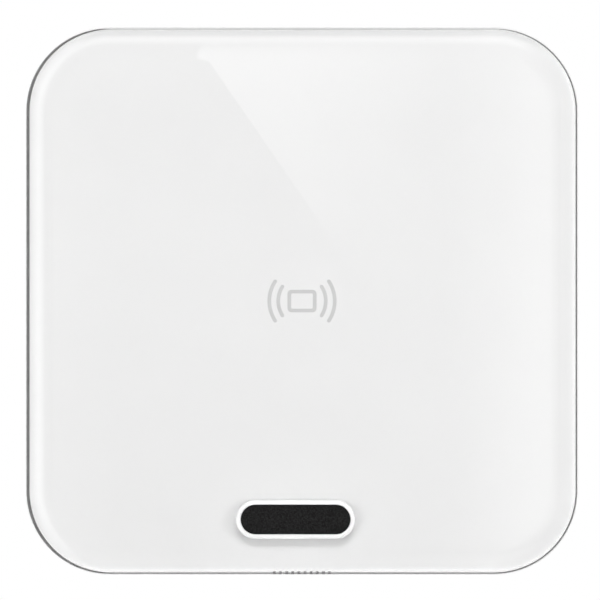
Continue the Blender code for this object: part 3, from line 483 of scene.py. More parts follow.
class Nodes:
    """A small helper that adds shader nodes and links them."""

    def __init__(self, tree):
        self.tree = tree
        tree.nodes.clear()

    def add(self, kind, inputs=None, **settings):
        node = self.tree.nodes.new(kind)
        for key, value in settings.items():
            setattr(node, key, value)
        for key, value in (inputs or {}).items():
            if isinstance(value, bpy.types.NodeSocket):
                self.tree.links.new(value, node.inputs[key])
            else:
                node.inputs[key].default_value = value
        return node

    def math(self, operation, *values):
        return self.add("ShaderNodeMath", dict(enumerate(values)), operation=operation).outputs[0]

    def dot(self, where, way):
        inputs = {0: where, 1: way}
        return self.add("ShaderNodeVectorMath", inputs, operation="DOT_PRODUCT").outputs["Value"]

    def ramp(self, value, start, end, low, high, shape="LINEAR"):
        inputs = {"Value": value, "From Min": start, "From Max": end, "To Min": low, "To Max": high}
        return self.add("ShaderNodeMapRange", inputs, interpolation_type=shape).outputs["Result"]

    def noise(self, size, detail):
        """Noise of about this size, in metres, in the piece's own space."""
        where = self.add("ShaderNodeTexCoord").outputs["Object"]
        scaled = self.add("ShaderNodeMapping", {"Vector": where, "Scale": [1 / size] * 3}).outputs[0]
        inputs = {"Vector": scaled, "Scale": 1.0, "Detail": detail}
        return self.add("ShaderNodeTexNoise", inputs).outputs["Fac"]

    def colours(self, source, stops):
        """Colours a value by (position, colour) stops."""
        node = self.add("ShaderNodeValToRGB", {"Fac": source})
        elements = node.color_ramp.elements
        positions, colours = zip(*stops)
        elements[0].position, elements[1].position = positions[0], positions[-1]
        for position in positions[1:-1]:
            elements.new(position)
        for element, colour in zip(elements, colours):
            element.color = (*colour, 1.0)
        return node.outputs["Color"]

    def mottle(self, source, dark, light):
        """Colours noise over the span that it mostly stays in."""
        return self.colours(source, list(zip(NOISE_SPAN, (dark, light))))

    def curve(self, value, stops):
        """Reads a value off straight lines between (position, height) stops."""
        top = max(height for position, height in stops)
        shares = self.colours(value, [(position, grey(height / top)) for position, height in stops])
        return self.math("MULTIPLY", shares, top)

    def seen(self):
        """One for the rays that show a thing, rather than light by it."""
        path = self.add("ShaderNodeLightPath").outputs
        shown = self.math("ADD", path["Is Camera Ray"], path["Is Glossy Ray"])
        shown = self.math("ADD", shown, path["Is Transmission Ray"])
        unlit = self.math("LESS_THAN", path["Diffuse Depth"], 0.5)
        return self.math("MULTIPLY", self.math("MINIMUM", shown, 1.0), unlit)


def new_nodes(name):
    made = bpy.data.materials.new(name)
    made.use_nodes = True
    return made, Nodes(made.node_tree)


def surface(name, dark, light, mottle, rough, grain, relief, **sockets):
    """A Principled material: colour mottled at one size, roughness and relief at the grain's size."""
    made, nodes = new_nodes(name)
    grains = nodes.noise(grain, GRAIN_DETAIL)
    inputs = {
        "Base Color": nodes.mottle(nodes.noise(mottle, MOTTLE_DETAIL), dark, light),
        "Roughness": nodes.ramp(grains, *NOISE_SPAN, *rough),
        "Normal": nodes.add("ShaderNodeBump", {"Height": grains, "Distance": relief}).outputs["Normal"],
    }
    inputs.update({key.replace("_", " "): value for key, value in sockets.items()})
    shader = nodes.add("ShaderNodeBsdfPrincipled", inputs)
    nodes.add("ShaderNodeOutputMaterial", {"Surface": shader.outputs[0]})
    return made


def metal(name, dark, light, rough):
    return surface(name, dark, light, mottle=1 * MM, rough=rough, grain=0.08 * MM, relief=0.002 * MM,
                   Metallic=1.0)


def grey(level):
    return (level, level, level)


def glass_material():
    """Clear glass that bends what is seen through it, but lets the studio light straight in."""
    made, nodes = new_nodes("clear_glass")
    dark, light = [grey(level) for level in GLASS_TINTS]
    inputs = {
        "Base Color": nodes.mottle(nodes.noise(GLASS_MOTTLE, GRAIN_DETAIL), dark, light),
        "Roughness": 0.0,
        "IOR": GLASS_INDEX,
        "Transmission Weight": 1.0,
    }
    shader = nodes.add("ShaderNodeBsdfPrincipled", inputs)
    path = nodes.add("ShaderNodeLightPath").outputs
    lamp_ray = nodes.math("MAXIMUM", path["Is Shadow Ray"], path["Is Diffuse Ray"])
    through = nodes.add("ShaderNodeBsdfTransparent")
    mixed = nodes.add("ShaderNodeMixShader", {0: lamp_ray, 1: shader.outputs[0], 2: through.outputs[0]})
    nodes.add("ShaderNodeOutputMaterial", {"Surface": mixed.outputs[0]})
    return made


def make_glass():
    profile = [(GLASS_ARRIS, PANEL.back), (0.0, PANEL.back + GLASS_ARRIS)]
    profile += rolled_edge(0.0, PANEL.front, GLASS_ROLL_WIDTH, GLASS_ROLL_DEPTH, ROLL_STEPS)
    profile.append((GLASS_ROLL_WIDTH + GLASS_FACE_RING, PANEL.front))
    piece("glass_front", panel_mesh(profile), glass_material(), FRONT, ["glass_panel"])


def notches(foot):
    """Points, from left to right, of a row of small notches in a lower edge at this height."""
    points = []
    for number in range(NOTCH_COUNT):
        x = (number - (NOTCH_COUNT - 1) / 2) * NOTCH_PITCH
        for way, rise in ((-1, 0.0), (-1, NOTCH_RISE), (1, NOTCH_RISE), (1, 0.0)):
            points.append((x + way * NOTCH_WIDTH / 2, foot + rise))
    return points


def film_outline():
    """A rounded rectangle inside the clear rim, with the notches in its lower edge."""
    width = PANEL.width - RIM_LEFT - RIM_RIGHT
    height = PANEL.height - RIM_TOP - RIM_FOOT
    place = ((RIM_LEFT - RIM_RIGHT) / 2, (RIM_FOOT - RIM_TOP) / 2)
    corners = rounded_outline(width, height, FILM_RADIUS, place)
    left_corners = 3 * (CORNER_STEPS + 1)
    return corners[:left_corners] + notches(place[1] - height / 2) + corners[left_corners:]


def make_film():
    back = Box("decor_film").back
    front = Box("sign_card").back - PRINT_GAP
    bm = bmesh.new()
    add_slab(bm, film_outline(), back, front)
    white = surface("white_print", grey(0.821), grey(0.829), mottle=14 * MM, rough=(0.42, 0.52),
                    grain=0.25 * MM, relief=0.002 * MM, Specular_IOR_Level=0.1)
    piece("print_film", bm, white, FRONT, ["decor_film"])


def make_tape():
    tape = Box("bonding_tape")
    # The bonding tape is real, and its black, seen through the clear rim, also paints the dark line of shade
    # in the gap between glass and frame: painted shade
    section = rectangle(inset_of(tape), flange_inset - TAPE_SETBACK, tape.back, tape.front)
    black = surface("black_tape", grey(0.09), grey(0.13), mottle=1 * MM, rough=(0.7, 0.9),
                    grain=0.15 * MM, relief=0.01 * MM)
    piece("foam_tape_and_rim_shade", panel_mesh(section, closed=True), black, FRONT, ["bonding_tape"])


def stroke_outline(path, width):
    """A closed outline round an open path of (x, z) points, with round ends."""
    half = width / 2
    left, right = [], []
    for index, point in enumerate(path):
        before = Vector(path[max(index - 1, 0)])
        along = (Vector(path[min(index + 1, len(path) - 1)]) - before).normalized()
        side = Vector((-along.y, along.x)) * half
        left.append(Vector(point) + side)
        right.append(Vector(point) - side)
    caps = []
    for end, start in ((path[-1], left[-1]), (path[0], right[0])):
        first = math.atan2(start.y - end[1], start.x - end[0])
        turns = [first - math.pi * step / CAP_STEPS for step in range(1, CAP_STEPS)]
        caps.append([(end[0] + half * math.cos(turn), end[1] + half * math.sin(turn)) for turn in turns])
    return left + caps[0] + right[::-1] + caps[1]


def make_sign():
    ink = surface("grey_ink", grey(0.505), grey(0.535), mottle=3 * MM, rough=(0.45, 0.55),
                  grain=0.2 * MM, relief=0.001 * MM)
    card = Box("sign_card")
    face = card.back + PRINT_THICKNESS
    outer = rounded_outline(card.width, card.height, CARD_RADIUS, card.place)
    hole = (card.width - 2 * SIGN_STROKE, card.height - 2 * SIGN_STROKE)
    inner = rounded_outline(*hole, CARD_HOLE_RADIUS, card.place)
    bm = bmesh.new()
    rings = [at_depth(outer, card.back), at_depth(outer, face)]
    rings += [at_depth(inner, face), at_depth(inner, card.back)]
    add_rings(bm, rings, closed=True)
    piece("sign_card_print", bm, ink, FRONT, ["sign_card"])
    for side, side_name in ((-1, "left"), (1, "right")):
        for ring_name, radius in WAVE_RADII.items():
            reach = WAVE_HALF_ANGLE - SIGN_STROKE / 2 / radius
            path = []
            for step in range(CORNER_STEPS + 1):
                angle = reach * (2 * step / CORNER_STEPS - 1)
                across = radius * math.cos(angle) - WAVE_CENTRE_OFFSET
                path.append((side * across, radius * math.sin(angle)))
            bm = bmesh.new()
            add_slab(bm, stroke_outline(path, SIGN_STROKE), card.back, face)
            node = f"sign_wave_{ring_name}_{side_name}"
            piece(node + "_print", bm, ink, FRONT, [node])


def add_pill(bm, box, profile):
    """A plate with round ends that fills a box. The profile is (inset, depth) pairs."""
    rings = []
    for inset, depth in profile:
        width, height = box.width - 2 * inset, box.height - 2 * inset
        rings.append(at_depth(rounded_outline(width, height, height / 2, box.place), depth))
    add_rings(bm, rings)


def make_badge():
    plate = Box("badge_plate")
    profile = [(0.0, plate.back)] + rolled_edge(0.0, plate.front, BADGE_EDGE_ROUND, BADGE_EDGE_ROUND)
    profile.append((BADGE_RIM - BADGE_RIM_ROUND, plate.front))
    profile += [(BADGE_RIM, plate.front - BADGE_RIM_ROUND), (BADGE_RIM, plate.front - BADGE_POCKET)]
    white = surface("white_badge", grey(0.90), grey(0.93), mottle=4 * MM, rough=(0.3, 0.4),
                    grain=0.12 * MM, relief=0.003 * MM)
    rim, face = bmesh.new(), bmesh.new()
    add_pill(rim, plate, profile)
    piece("badge_rim", rim, white, FRONT, ["badge_plate"])
    inlay = Box("badge_inlay")
    profile = [(INLAY_INSET, inlay.back), (INLAY_INSET, inlay.front - INLAY_ROUND)]
    add_pill(face, inlay, profile + [(INLAY_INSET + INLAY_ROUND, inlay.front)])
    # The black inlay is the badge's own colour. The black pad between the glass and the badge plate darkens
    # the shade round the badge: painted shade
    shade_pad_back, shade_pad_front = PANEL.front + BADGE_SHADE_PAD_GAP, plate.back - BADGE_SHADE_PAD_GAP
    add_pill(face, plate, [(BADGE_SHADE_PAD_INSET, shade_pad_back), (BADGE_SHADE_PAD_INSET, shade_pad_front)])
    black = surface("black_badge", grey(0.001), grey(0.014), mottle=0.2 * MM, rough=(0.5, 0.75),
                    grain=0.18 * MM, relief=0.03 * MM, Specular_IOR_Level=0.07)
    piece("badge_face_and_shade_pad", face, black, FRONT, ["badge_inlay"])


def make_frame():
    profile = rolled_edge(inset_of(FRAME), FRAME.back, FRAME_BACK_ROUND, -FRAME_BACK_ROUND)[::-1]
    profile += rolled_edge(inset_of(FRAME), FRAME.front, FRAME_FRONT_ROUND, FRAME_FRONT_ROUND)
    profile += [(flange_inset, FRAME.front), (flange_inset, flange_back), (inner_wall_inset, flange_back)]
    profile += rolled_edge(inner_wall_inset, FRAME.back, -FRAME_FRONT_ROUND, -FRAME_FRONT_ROUND)
    bosses = bmesh.new()
    boss_back, boss_front = cover_front + SEAT_GAP, flange_back + BITE
    for screw in COVER_SCREWS:
        add_rod(bosses, depth_axis(*screw.place), COVER_BOSS_RADIUS, boss_back, boss_front)
    rib_back = FRAME.back + BOND_GAP
    rib = rectangle(rib_back, FRAME.back + RIB_THICKNESS, inner_top - RIB_HEIGHT, inner_top + BITE)
    for side in (-1, 1):
        add_bar(bosses, side * HOOK_SPACING / 2, HOOK_WIDTH, rib, HOOK_ROUND)
    pocket = INSERT.width / 2 + BOND_GAP
    reach = pocket + LOCK_BOSS_WALL
    lock_boss = rectangle(LOCK.depth - reach, LOCK.depth + reach, -inner_top - BITE, INSERT.top)
    add_bar(bosses, 0.0, LOCK_BOSS_WIDTH, lock_boss, HOOK_ROUND)
    holes = bmesh.new()
    for screw in COVER_SCREWS:
        hole = COVER_SCREW_RADIUS + SEAT_GAP
        add_rod(holes, depth_axis(*screw.place), hole, cover_front - BITE, screw.front + SEAT_GAP)
    neck = LOCK.width / 2 + SEAT_GAP
    floor = INSERT.foot - SEAT_GAP
    bore = [(neck + LOCK_MOUTH + BITE, FRAME.foot - BITE), (neck, FRAME.foot + LOCK_MOUTH), (neck, floor)]
    bore += [(pocket, floor), (pocket, INSERT.top + BITE)]
    add_turned(holes, height_axis(0.0, LOCK.depth), bore)
    white = surface("white_housing", grey(0.76), grey(0.80), mottle=9 * MM, rough=(0.36, 0.5),
                    grain=0.15 * MM, relief=0.006 * MM)
    bm = panel_mesh(profile, closed=True)
    piece("frame_shell", bm, white, FRONT, ["front_frame"], [bosses], [holes])


def make_cover(moulding):
    inset = inset_of(COVER)
    step_inset, step_depth = inset + SEAL_WIDTH, SEAL.back - BOND_GAP
    profile = rolled_edge(inset, COVER.back, COVER_ROUND, -COVER_ROUND)[::-1]
    profile += [(inset, step_depth), (step_inset, step_depth), (step_inset, cover_front)]
    posts, holes = bmesh.new(), bmesh.new()
    for screw in BOARD_SCREWS:
        axis = depth_axis(*screw.place)
        add_rod(posts, axis, POST_RADIUS, cover_front - BITE, COVER.front)
        add_rod(holes, axis, COVER_SCREW_RADIUS, screw.back - SEAT_GAP, COVER.front + BITE)
    for screw in COVER_SCREWS:
        hole = COVER_SCREW_RADIUS + SEAT_GAP
        add_rod(holes, depth_axis(*screw.place), hole, COVER.back - BITE, cover_front + BITE)
    window = terminal_foot(Box("terminal_block"), SEAT_GAP)
    add_slab(holes, window, COVER.back - BITE, cover_front + BITE)
    bm = panel_mesh(profile)
    piece("cover_moulding", bm, moulding, FRONT, ["rear_cover"], [posts], [holes])


def make_cover_screws(steel):
    for number, screw in enumerate(COVER_SCREWS, 1):
        axis = depth_axis(*screw.place)
        seat, head = screw.back + COVER_HEAD_HEIGHT, screw.width / 2
        profile = [(COVER_SCREW_RADIUS - SCREW_EDGE, screw.front)]
        profile += [(COVER_SCREW_RADIUS, screw.front - SCREW_EDGE), (COVER_SCREW_RADIUS, seat), (head, seat)]
        dome = rolled_edge(0.0, screw.back, COVER_HEAD_WALL, SCREW_EDGE - COVER_HEAD_HEIGHT)
        profile += [(head - inset, depth) for inset, depth in dome]
        rings = turned_rings(axis, profile)
        rings += socket_rings(axis, COVER_SOCKET_RADIUS, screw.back, screw.back + COVER_SOCKET_DEPTH)
        bm = bmesh.new()
        add_rings(bm, rings)
        piece(f"steel_screw_{number}", bm, steel, FRONT, [f"cover_screw_{number}"])


def terminal_foot(block, room=0.0):
    """The outline of the block's narrower foot, with this much room round it."""
    width, height = block.width - 2 * TERMINAL_SHOULDER, TERMINAL_FOOT_LENGTH
    return rounded_outline(width + 2 * room, height + 2 * room, SEAT_GAP, block.place, EDGE_STEPS)


def make_clamp_screws(brass):
    for number, screw in enumerate(CLAMP_SCREWS, 1):
        axis = depth_axis(*screw.place)
        radius = screw.width / 2
        profile = [(radius - SCREW_EDGE, screw.front), (radius, screw.front - SCREW_EDGE)]
        profile += [(radius, screw.back + SOCKET_CHAMFER), (radius - SOCKET_CHAMFER, screw.back)]
        rings = turned_rings(axis, profile)
        rings += socket_rings(axis, TERMINAL_SOCKET_RADIUS, screw.back, screw.back + TERMINAL_SOCKET_DEPTH)
        bm = bmesh.new()
        add_rings(bm, rings)
        piece(f"clamp_screw_{number}", bm, brass, FRONT, [f"terminal_screw_{number}"])


def make_terminal_block():
    """A block with a well over each clamp screw, a wire hole below it and grooves between the poles."""
    block = Box("terminal_block")
    shoulder = block.back + TERMINAL_HEIGHT
    body, foot, wells, entries, grooves = [bmesh.new() for _ in range(5)]
    section = rectangle(block.back, shoulder, block.foot, block.top)
    add_bar(body, block.x, block.width, section, TERMINAL_EDGE)
    add_slab(foot, terminal_foot(block), shoulder - BITE, block.front)
    for screw in CLAMP_SCREWS:
        radius, floor = screw.width / 2 + SEAT_GAP, screw.front + BOND_GAP
        well = [(radius + TERMINAL_EDGE + BITE, block.back - BITE), (radius, block.back + TERMINAL_EDGE)]
        add_turned(wells, depth_axis(*screw.place), well + [(radius, floor)])
        funnel = [(WIRE_HOLE_RADIUS + WIRE_FUNNEL + BITE, block.foot - BITE)]
        funnel += [(WIRE_HOLE_RADIUS, block.foot + rise) for rise in (WIRE_FUNNEL, WIRE_HOLE_DEPTH)]
        add_turned(entries, height_axis(screw.x, (floor + shoulder) / 2), funnel)
    groove_front = block.back + TERMINAL_GROOVE
    groove = rectangle(block.back - BITE, groove_front, block.foot - BITE, block.top + BITE)
    for left, right in zip(CLAMP_SCREWS, CLAMP_SCREWS[1:]):
        add_bar(grooves, (left.x + right.x) / 2, TERMINAL_GROOVE, groove)
    mould = surface("terminal_mould", grey(0.17), grey(0.23), mottle=3 * MM, rough=(0.4, 0.55),
                    grain=0.15 * MM, relief=0.005 * MM)
    cuts = [wells, entries, grooves]
    piece("terminal_body", body, mould, FRONT, ["terminal_block"], [foot], cuts)


def make_tamper_switch(mould):
    switch, plunger = Box("tamper_switch"), Box("tamper_plunger")
    body, bore, button = bmesh.new(), bmesh.new(), bmesh.new()
    section = rectangle(switch.back, switch.front, switch.foot, switch.top)
    add_bar(body, switch.x, switch.width, section, SWITCH_EDGE)
    radius = plunger.width / 2
    floor = plunger.front + PLUNGER_TRAVEL + PLUNGER_CLEARANCE
    add_rod(bore, depth_axis(*switch.place), radius + PLUNGER_CLEARANCE, switch.back - BITE, floor)
    piece("switch_body", body, mould, FRONT, ["tamper_switch"], [], [bore])
    dome = rolled_edge(0.0, plunger.back, PLUNGER_DOME, -PLUNGER_DOME)[::-1]
    profile = [(radius - inset, depth) for inset, depth in dome] + [(radius, plunger.front)]
    add_turned(button, depth_axis(*plunger.place), profile)
    red = surface("red_plunger", (0.42, 0.03, 0.025), (0.56, 0.05, 0.04), mottle=1.5 * MM,
                  rough=(0.3, 0.45), grain=0.1 * MM, relief=0.003 * MM)
    piece("switch_button", button, red, "tamper_plunger", ["tamper_plunger"])


def make_lock_screw():
    """A grub screw with a helical thread, whose socket faces down."""
    axis = height_axis(LOCK.x, LOCK.depth)
    radius = LOCK.width / 2
    start, end = LOCK.top - SCREW_EDGE, LOCK.foot + SCREW_EDGE
    rings = turned_rings(axis, [(radius - SCREW_EDGE, LOCK.top)])
    count = round((start - end) / THREAD_PITCH * THREAD_STEPS)
    for step in range(count + 1):
        along = start + (end - start) * step / count
        depth = THREAD_DEPTH * min(1.0, step / THREAD_STEPS, (count - step) / THREAD_STEPS)
        ring = []
        for side, (x, z) in enumerate(circle(1.0, SMALL_SIDES)):
            phase = (step / THREAD_STEPS + side / SMALL_SIDES) % 1.0
            reach = radius - depth * (1 - abs(2 * phase - 1))
            ring.append((reach * x, reach * z))
        rings.append(on_axis(axis, ring, along))
    rings += turned_rings(axis, [(radius - SCREW_EDGE / 2, LOCK.foot)])
    rings += socket_rings(axis, LOCK_SOCKET_RADIUS, LOCK.foot, LOCK.foot + LOCK_SOCKET_DEPTH)
    bm = bmesh.new()
    add_rings(bm, rings)
    dark = metal("dark_steel", grey(0.2), grey(0.3), rough=(0.3, 0.5))
    piece("grub_screw", bm, dark, "lock_screw", ["lock_screw"])


def make_wall_plate(moulding):
    inset = inset_of(PLATE)
    step_inset, step_depth = inset + WALL_SEAL_WIDTH, Box("wall_seal").front + BOND_GAP
    profile = [(step_inset, PLATE.back), (step_inset, step_depth), (inset, step_depth)]
    profile += rolled_edge(inset, PLATE_THICKNESS, PLATE_ROUND, PLATE_ROUND)
    root = PLATE_THICKNESS - BITE
    hook_back = FRAME.back + RIB_THICKNESS + HOOK_CLEARANCE
    hook_front = hook_back + HOOK_THICKNESS
    plate_top = PANEL.top - inset
    hook_foot, shelf = plate_top - HOOK_ROOT_HEIGHT, plate_top - BOND_GAP
    hook = [(root, hook_foot), (hook_front, hook_foot), (hook_front, PLATE.top)]
    hook += [(hook_back, PLATE.top), (hook_back, shelf), (root, shelf)]
    tab_foot = INSERT.top + LOCK_TAB_GAP
    tab_top = tab_foot + LOCK_TAB_THICKNESS
    hooks, holes = bmesh.new(), bmesh.new()
    for side in (-1, 1):
        add_bar(hooks, side * HOOK_SPACING / 2, HOOK_WIDTH, hook, HOOK_ROUND)
        add_slot(holes, (side * (PANEL.width / 2 - inset - SLOT_EDGE_DISTANCE), 0.0))
    add_bar(hooks, 0.0, LOCK_TAB_WIDTH, rectangle(root, PLATE.front, tab_foot, tab_top), HOOK_ROUND)
    lock_hole = LOCK.width / 2 + SEAT_GAP
    add_rod(holes, height_axis(0.0, LOCK.depth), lock_hole, tab_foot - BITE, tab_top + BITE)
    add_cable_hole(holes)
    add_arrow(holes)
    bm = panel_mesh(profile)
    piece("plate_moulding", bm, moulding, WALL, ["wall_plate"], [hooks], [holes])


def add_slot(bm, place):
    """An upright screw slot, sunk on its front for a countersunk head."""
    sunk = SLOT_SINK + BITE
    rings = []
    for depth, widening in ((-BITE, 0.0), (PLATE_THICKNESS - SLOT_SINK, 0.0), (PLATE_THICKNESS + BITE, sunk)):
        radius = SLOT_RADIUS + widening
        outline = rounded_outline(2 * radius, SLOT_LENGTH + 2 * widening, radius, place, 3 * EDGE_STEPS)
        rings.append(at_depth(outline, depth))
    add_rings(bm, rings)


def add_cable_hole(bm):
    recess_radius = GROMMET.width / 2 + SEAT_GAP
    recess_floor = GROMMET_LIP_THICKNESS + SEAT_GAP
    profile = [(recess_radius, -BITE), (recess_radius, recess_floor)]
    profile += [(CABLE_HOLE_RADIUS, recess_floor), (CABLE_HOLE_RADIUS, PLATE_THICKNESS + BITE)]
    add_turned(bm, depth_axis(*GROMMET.place), profile, LARGE_SIDES)


def add_arrow(bm):
    """An arrow in the plate's front that says which way is up."""
    unit = ARROW_HEIGHT / 6
    shape = ARROW_HALF + [(-x, z) for x, z in ARROW_HALF[:0:-1]]
    outline = [(x * unit, ARROW_PLACE + z * unit) for x, z in shape]
    add_slab(bm, outline, PLATE_THICKNESS - ARROW_SINK, PLATE_THICKNESS + BITE)


def make_wall_seal(rubber):
    seal = Box("wall_seal")
    outer, inner = inset_of(seal), inset_of(PLATE) + WALL_SEAL_WIDTH - BOND_GAP
    corners = [(outer, seal.back), (outer, seal.front), (inner, seal.front), (inner, seal.back)]
    bm = panel_mesh(eased(corners, WALL_SEAL_ROUND), closed=True)
    piece("foam_seal", bm, rubber, WALL, ["wall_seal"])


def make_grommet(rubber):
    lip, neck = GROMMET.width / 2, CABLE_HOLE_RADIUS - BOND_GAP
    back_lip, front_lip = GROMMET.back + GROMMET_LIP_THICKNESS, GROMMET.front - GROMMET_LIP_THICKNESS
    corners = [(CABLE_BORE_RADIUS, GROMMET.back), (lip, GROMMET.back), (lip, back_lip), (neck, back_lip)]
    corners += [(neck, front_lip), (lip, front_lip), (lip, GROMMET.front), (CABLE_BORE_RADIUS, GROMMET.front)]
    bm = bmesh.new()
    add_turned(bm, depth_axis(*GROMMET.place), eased(corners, GROMMET_ROUND), LARGE_SIDES, closed=True)
    piece("rubber_grommet", bm, rubber, WALL, ["cable_grommet"])


def assign(finish, *names):
    """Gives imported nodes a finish. Their meshes stay as they are."""
    for name in names:
        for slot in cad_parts[name].material_slots:
            slot.material = finish


def dress_inner_nodes(rubber, steel, brass, mould):
    """Finishes of the pieces that the frame, the film and the rear cover enclose."""
    assign(rubber, "cover_seal")
    assign(steel, *numbered("board_screw", BOARD_SCREW_COUNT))
    assign(brass, "lock_insert")
    assign(mould, "controller_chip", "reader_chip", "voltage_regulator", "sounder")
    board = surface("circuit_board", (0.012, 0.12, 0.05), (0.025, 0.2, 0.09), mottle=1.6 * MM,
                    rough=(0.3, 0.5), grain=0.3 * MM, relief=0.01 * MM)
    assign(board, "main_board", "antenna_board")
    assign(metal("plated_can", grey(0.62), grey(0.75), rough=(0.15, 0.3)), "crystal")
    lens = surface("light_lens", (0.8, 0.8, 0.62), (0.9, 0.9, 0.76), mottle=0.4 * MM, rough=(0.1, 0.2),
                   grain=0.1 * MM, relief=0.001 * MM)
    assign(lens, *numbered("status_light", STATUS_LIGHT_COUNT))
    guide = surface("milky_guide", grey(0.82), grey(0.9), mottle=3 * MM, rough=(0.2, 0.35),
                    grain=0.2 * MM, relief=0.002 * MM)
    assign(guide, "light_guide")
    assign(metal("copper", (0.62, 0.28, 0.14), (0.85, 0.45, 0.27), rough=(0.25, 0.45)), "antenna_coil")
    ferrite = surface("ferrite", grey(0.04), grey(0.08), mottle=0.8 * MM, rough=(0.55, 0.8),
                      grain=0.15 * MM, relief=0.006 * MM)
    assign(ferrite, "ferrite_sheet")
    gold = metal("gold_contact", (0.72, 0.5, 0.18), (0.9, 0.68, 0.3), rough=(0.15, 0.3))
    assign(gold, "antenna_pin_left", "antenna_pin_right")


def make_pieces():
    make_glass()
    make_film()
    make_tape()
    make_sign()
    make_badge()
    make_frame()
    moulding = surface("grey_housing", grey(0.39), grey(0.42), mottle=8 * MM, rough=(0.42, 0.58),
                       grain=0.2 * MM, relief=0.008 * MM)
    rubber = surface("black_rubber", grey(0.015), grey(0.03), mottle=3 * MM, rough=(0.65, 0.85),
                     grain=0.1 * MM, relief=0.01 * MM)
    steel = metal("screw_steel", grey(0.5), grey(0.62), rough=(0.22, 0.4))
    brass = metal("brass_clamp", (0.62, 0.46, 0.2), (0.8, 0.64, 0.33), rough=(0.2, 0.4))
    mould = surface("black_mould", grey(0.015), grey(0.03), mottle=2 * MM, rough=(0.4, 0.6),
                    grain=0.1 * MM, relief=0.004 * MM)
    make_cover(moulding)
    make_cover_screws(steel)
    make_clamp_screws(brass)
    make_terminal_block()
    make_tamper_switch(mould)
    make_lock_screw()
    make_wall_plate(moulding)
    make_wall_seal(rubber)
    make_grommet(rubber)
    dress_inner_nodes(rubber, steel, brass, mould)


def lamp(nodes, way, middle, reach, strength):
    """Light from an oval patch of directions, given by its middle and its half width and half height."""
    scale = (1 / reach[0], 0.0, 1 / reach[1])
    move = (-middle[0] / reach[0], 0.0, -middle[1] / reach[1])
    place = nodes.add("ShaderNodeMapping", {"Vector": way, "Location": move, "Scale": scale}).outputs[0]
    away = nodes.add("ShaderNodeVectorMath", {0: place}, operation="LENGTH").outputs["Value"]
    return nodes.ramp(away, LAMP_CORE, 1.0, strength, 0.0, "SMOOTHSTEP")


def studio_light(nodes, way, forward):
    """Soft light from the lamps in front, and from all round the sides and the back."""
    front = 0.0
    for middle, reach, strength in LAMPS:
        front = nodes.math("ADD", front, lamp(nodes, way, middle, reach, strength))
    front = nodes.math("MULTIPLY", front, nodes.math("GREATER_THAN", forward, 0.0))
    around = nodes.ramp(forward, *AROUND_FADE, AROUND_STRENGTH, 0.0, "SMOOTHSTEP")
    around = nodes.math("MULTIPLY", around, nodes.ramp(forward, *BACK_FADE, BACK_SHARE, 1.0))
    return nodes.math("ADD", front, around)


def box_screens(nodes, way, forward):
    """A box at the upper left and a lower one at the lower right, which show in the rolled edge."""
    aside = nodes.math("SQRT", nodes.math("SUBTRACT", 1.0, nodes.math("MULTIPLY", forward, forward)))
    diagonal = nodes.math("DIVIDE", nodes.dot(way, UPPER_LEFT), aside)
    upper_left = nodes.ramp(diagonal, -BOX_BLEND, BOX_BLEND, 0.0, 1.0)
    lower_right = nodes.ramp(diagonal, -BOX_BLEND, BOX_BLEND, 1.0, 0.0)
    light = nodes.math("MULTIPLY", nodes.curve(aside, SOFT_BOX), upper_left)
    return nodes.math("ADD", light, nodes.math("MULTIPLY", nodes.curve(aside, LOW_BOX), lower_right))


def pane_glare(nodes, across, upward):
    """The glare of a pane with a slanted edge, strongest near that edge and its top."""
    slant = nodes.math("MULTIPLY", nodes.math("MINIMUM", upward, PANE_TOP), PANE_SLANT)
    light = nodes.ramp(nodes.math("ADD", across, slant), *PANE_EDGE, 0.0, 1.0)
    light = nodes.math("MULTIPLY", light, nodes.ramp(upward, *PANE_RISE, 0.0, PANE_STRENGTH))
    light = nodes.math("MULTIPLY", light, nodes.ramp(across, *PANE_REACH, 1.0, 0.0))
    return nodes.math("MULTIPLY", light, nodes.ramp(upward, *PANE_CEILING, 1.0, 0.0))


def studio_screens(nodes, way, forward):
    """How much brighter than the white room its screens look in the glass, by direction."""
    across, upward = nodes.dot(way, RIGHT), nodes.dot(way, UP)
    light = box_screens(nodes, way, forward)
    light = nodes.math("ADD", light, nodes.curve(across, STRIP))
    corner = nodes.math("MAXIMUM", nodes.dot(way, LEFT), upward)
    light = nodes.math("ADD", light, nodes.curve(corner, GLOW))
    # The pane and the low shade show only in the glass's front face, not through it in its back face
    low_shade = nodes.curve(nodes.dot(way, DOWN), LOW_SHADE)
    front_face = nodes.math("SUBTRACT", pane_glare(nodes, across, upward), low_shade)
    refracted = nodes.add("ShaderNodeLightPath").outputs["Is Transmission Ray"]
    front_face = nodes.math("MULTIPLY", front_face, nodes.math("SUBTRACT", 1.0, refracted))
    light = nodes.math("ADD", light, front_face)
    light = nodes.math("SUBTRACT", light, nodes.curve(nodes.dot(way, LOWER_LEFT), CORNER_SHADE))
    light = nodes.math("ADD", light, nodes.ramp(upward, *TOP_SHADE_SPAN, 0.0, -TOP_SHADE))
    light = nodes.math("MAXIMUM", light, -1.0)
    return nodes.math("MULTIPLY", light, nodes.ramp(forward, *SCREEN_FADE, 0.0, 1.0))


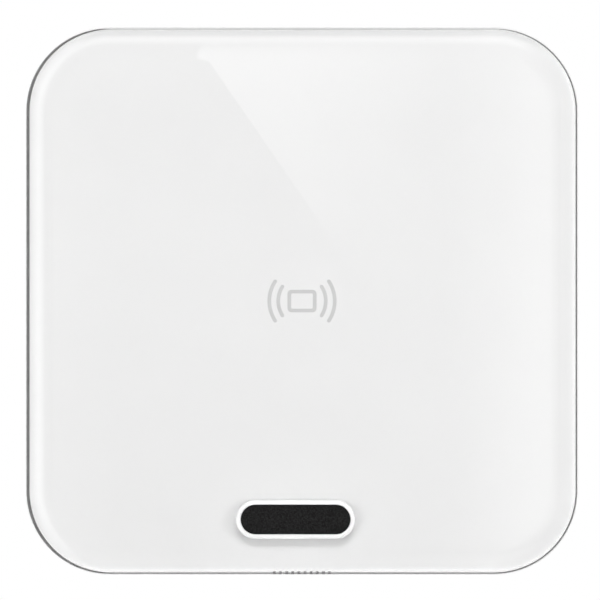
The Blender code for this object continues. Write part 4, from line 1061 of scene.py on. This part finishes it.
def make_world():
    """A soft studio that is seen as a plain white room, with brighter screens in reflections."""
    world = bpy.data.worlds.new("studio")
    world.use_nodes = True
    nodes = Nodes(world.node_tree)
    way = nodes.add("ShaderNodeTexCoord").outputs["Generated"]
    forward = nodes.dot(way, FORWARD)
    glossy = nodes.add("ShaderNodeLightPath").outputs["Is Glossy Ray"]
    room = nodes.math("ADD", nodes.math("MULTIPLY", studio_screens(nodes, way, forward), glossy), 1.0)
    white = (*grey(1.0), 1.0)
    lit = nodes.add("ShaderNodeBackground", {"Color": white, "Strength": studio_light(nodes, way, forward)})
    shown = nodes.add("ShaderNodeBackground", {"Color": white, "Strength": room})
    mixed = nodes.add("ShaderNodeMixShader", {0: nodes.seen(), 1: lit.outputs[0], 2: shown.outputs[0]})
    nodes.add("ShaderNodeOutputWorld", {"Surface": mixed.outputs[0]})
    bpy.context.scene.world = world


def make_floor():
    """A plain pale round floor below the reader, which is clear when seen from underneath."""
    bm = bmesh.new()
    bmesh.ops.create_circle(bm, cap_ends=True, segments=LARGE_SIDES, radius=FLOOR_RADIUS)
    made, nodes = new_nodes("pale_floor")
    glow = nodes.math("MULTIPLY", nodes.seen(), FLOOR_GLOW)
    pale = nodes.add("ShaderNodeBsdfDiffuse", {"Color": (*grey(FLOOR_GREY), 1.0)})
    white = nodes.add("ShaderNodeEmission", {"Color": (*grey(1.0), 1.0), "Strength": 1.0})
    mixed = nodes.add("ShaderNodeMixShader", {0: glow, 1: pale.outputs[0], 2: white.outputs[0]})
    underside = nodes.add("ShaderNodeNewGeometry").outputs["Backfacing"]
    clear = nodes.add("ShaderNodeBsdfTransparent")
    mixed = nodes.add("ShaderNodeMixShader", {0: underside, 1: mixed.outputs[0], 2: clear.outputs[0]})
    nodes.add("ShaderNodeOutputMaterial", {"Surface": mixed.outputs[0]})
    floor = bpy.data.objects.new("floor", mesh_from(bm))
    floor.data.materials.append(made)
    floor.location = (0.0, 0.0, FLOOR_HEIGHT)
    floor.visible_diffuse = False
    floor.visible_glossy = False
    floor.visible_shadow = False
    bpy.context.scene.collection.objects.link(floor)


def make_camera():
    data = bpy.data.cameras.new("camera")
    data.lens = CAMERA_LENS
    data.sensor_width = CAMERA_SENSOR
    camera = bpy.data.objects.new("camera", data)
    bpy.context.scene.collection.objects.link(camera)
    camera.location = CAMERA_PLACE
    camera.rotation_euler = (math.pi / 2, 0.0, 0.0)
    bpy.context.scene.camera = camera


make_pieces()
make_world()
make_floor()
make_camera()
bpy.context.scene.view_settings.view_transform = "Standard"
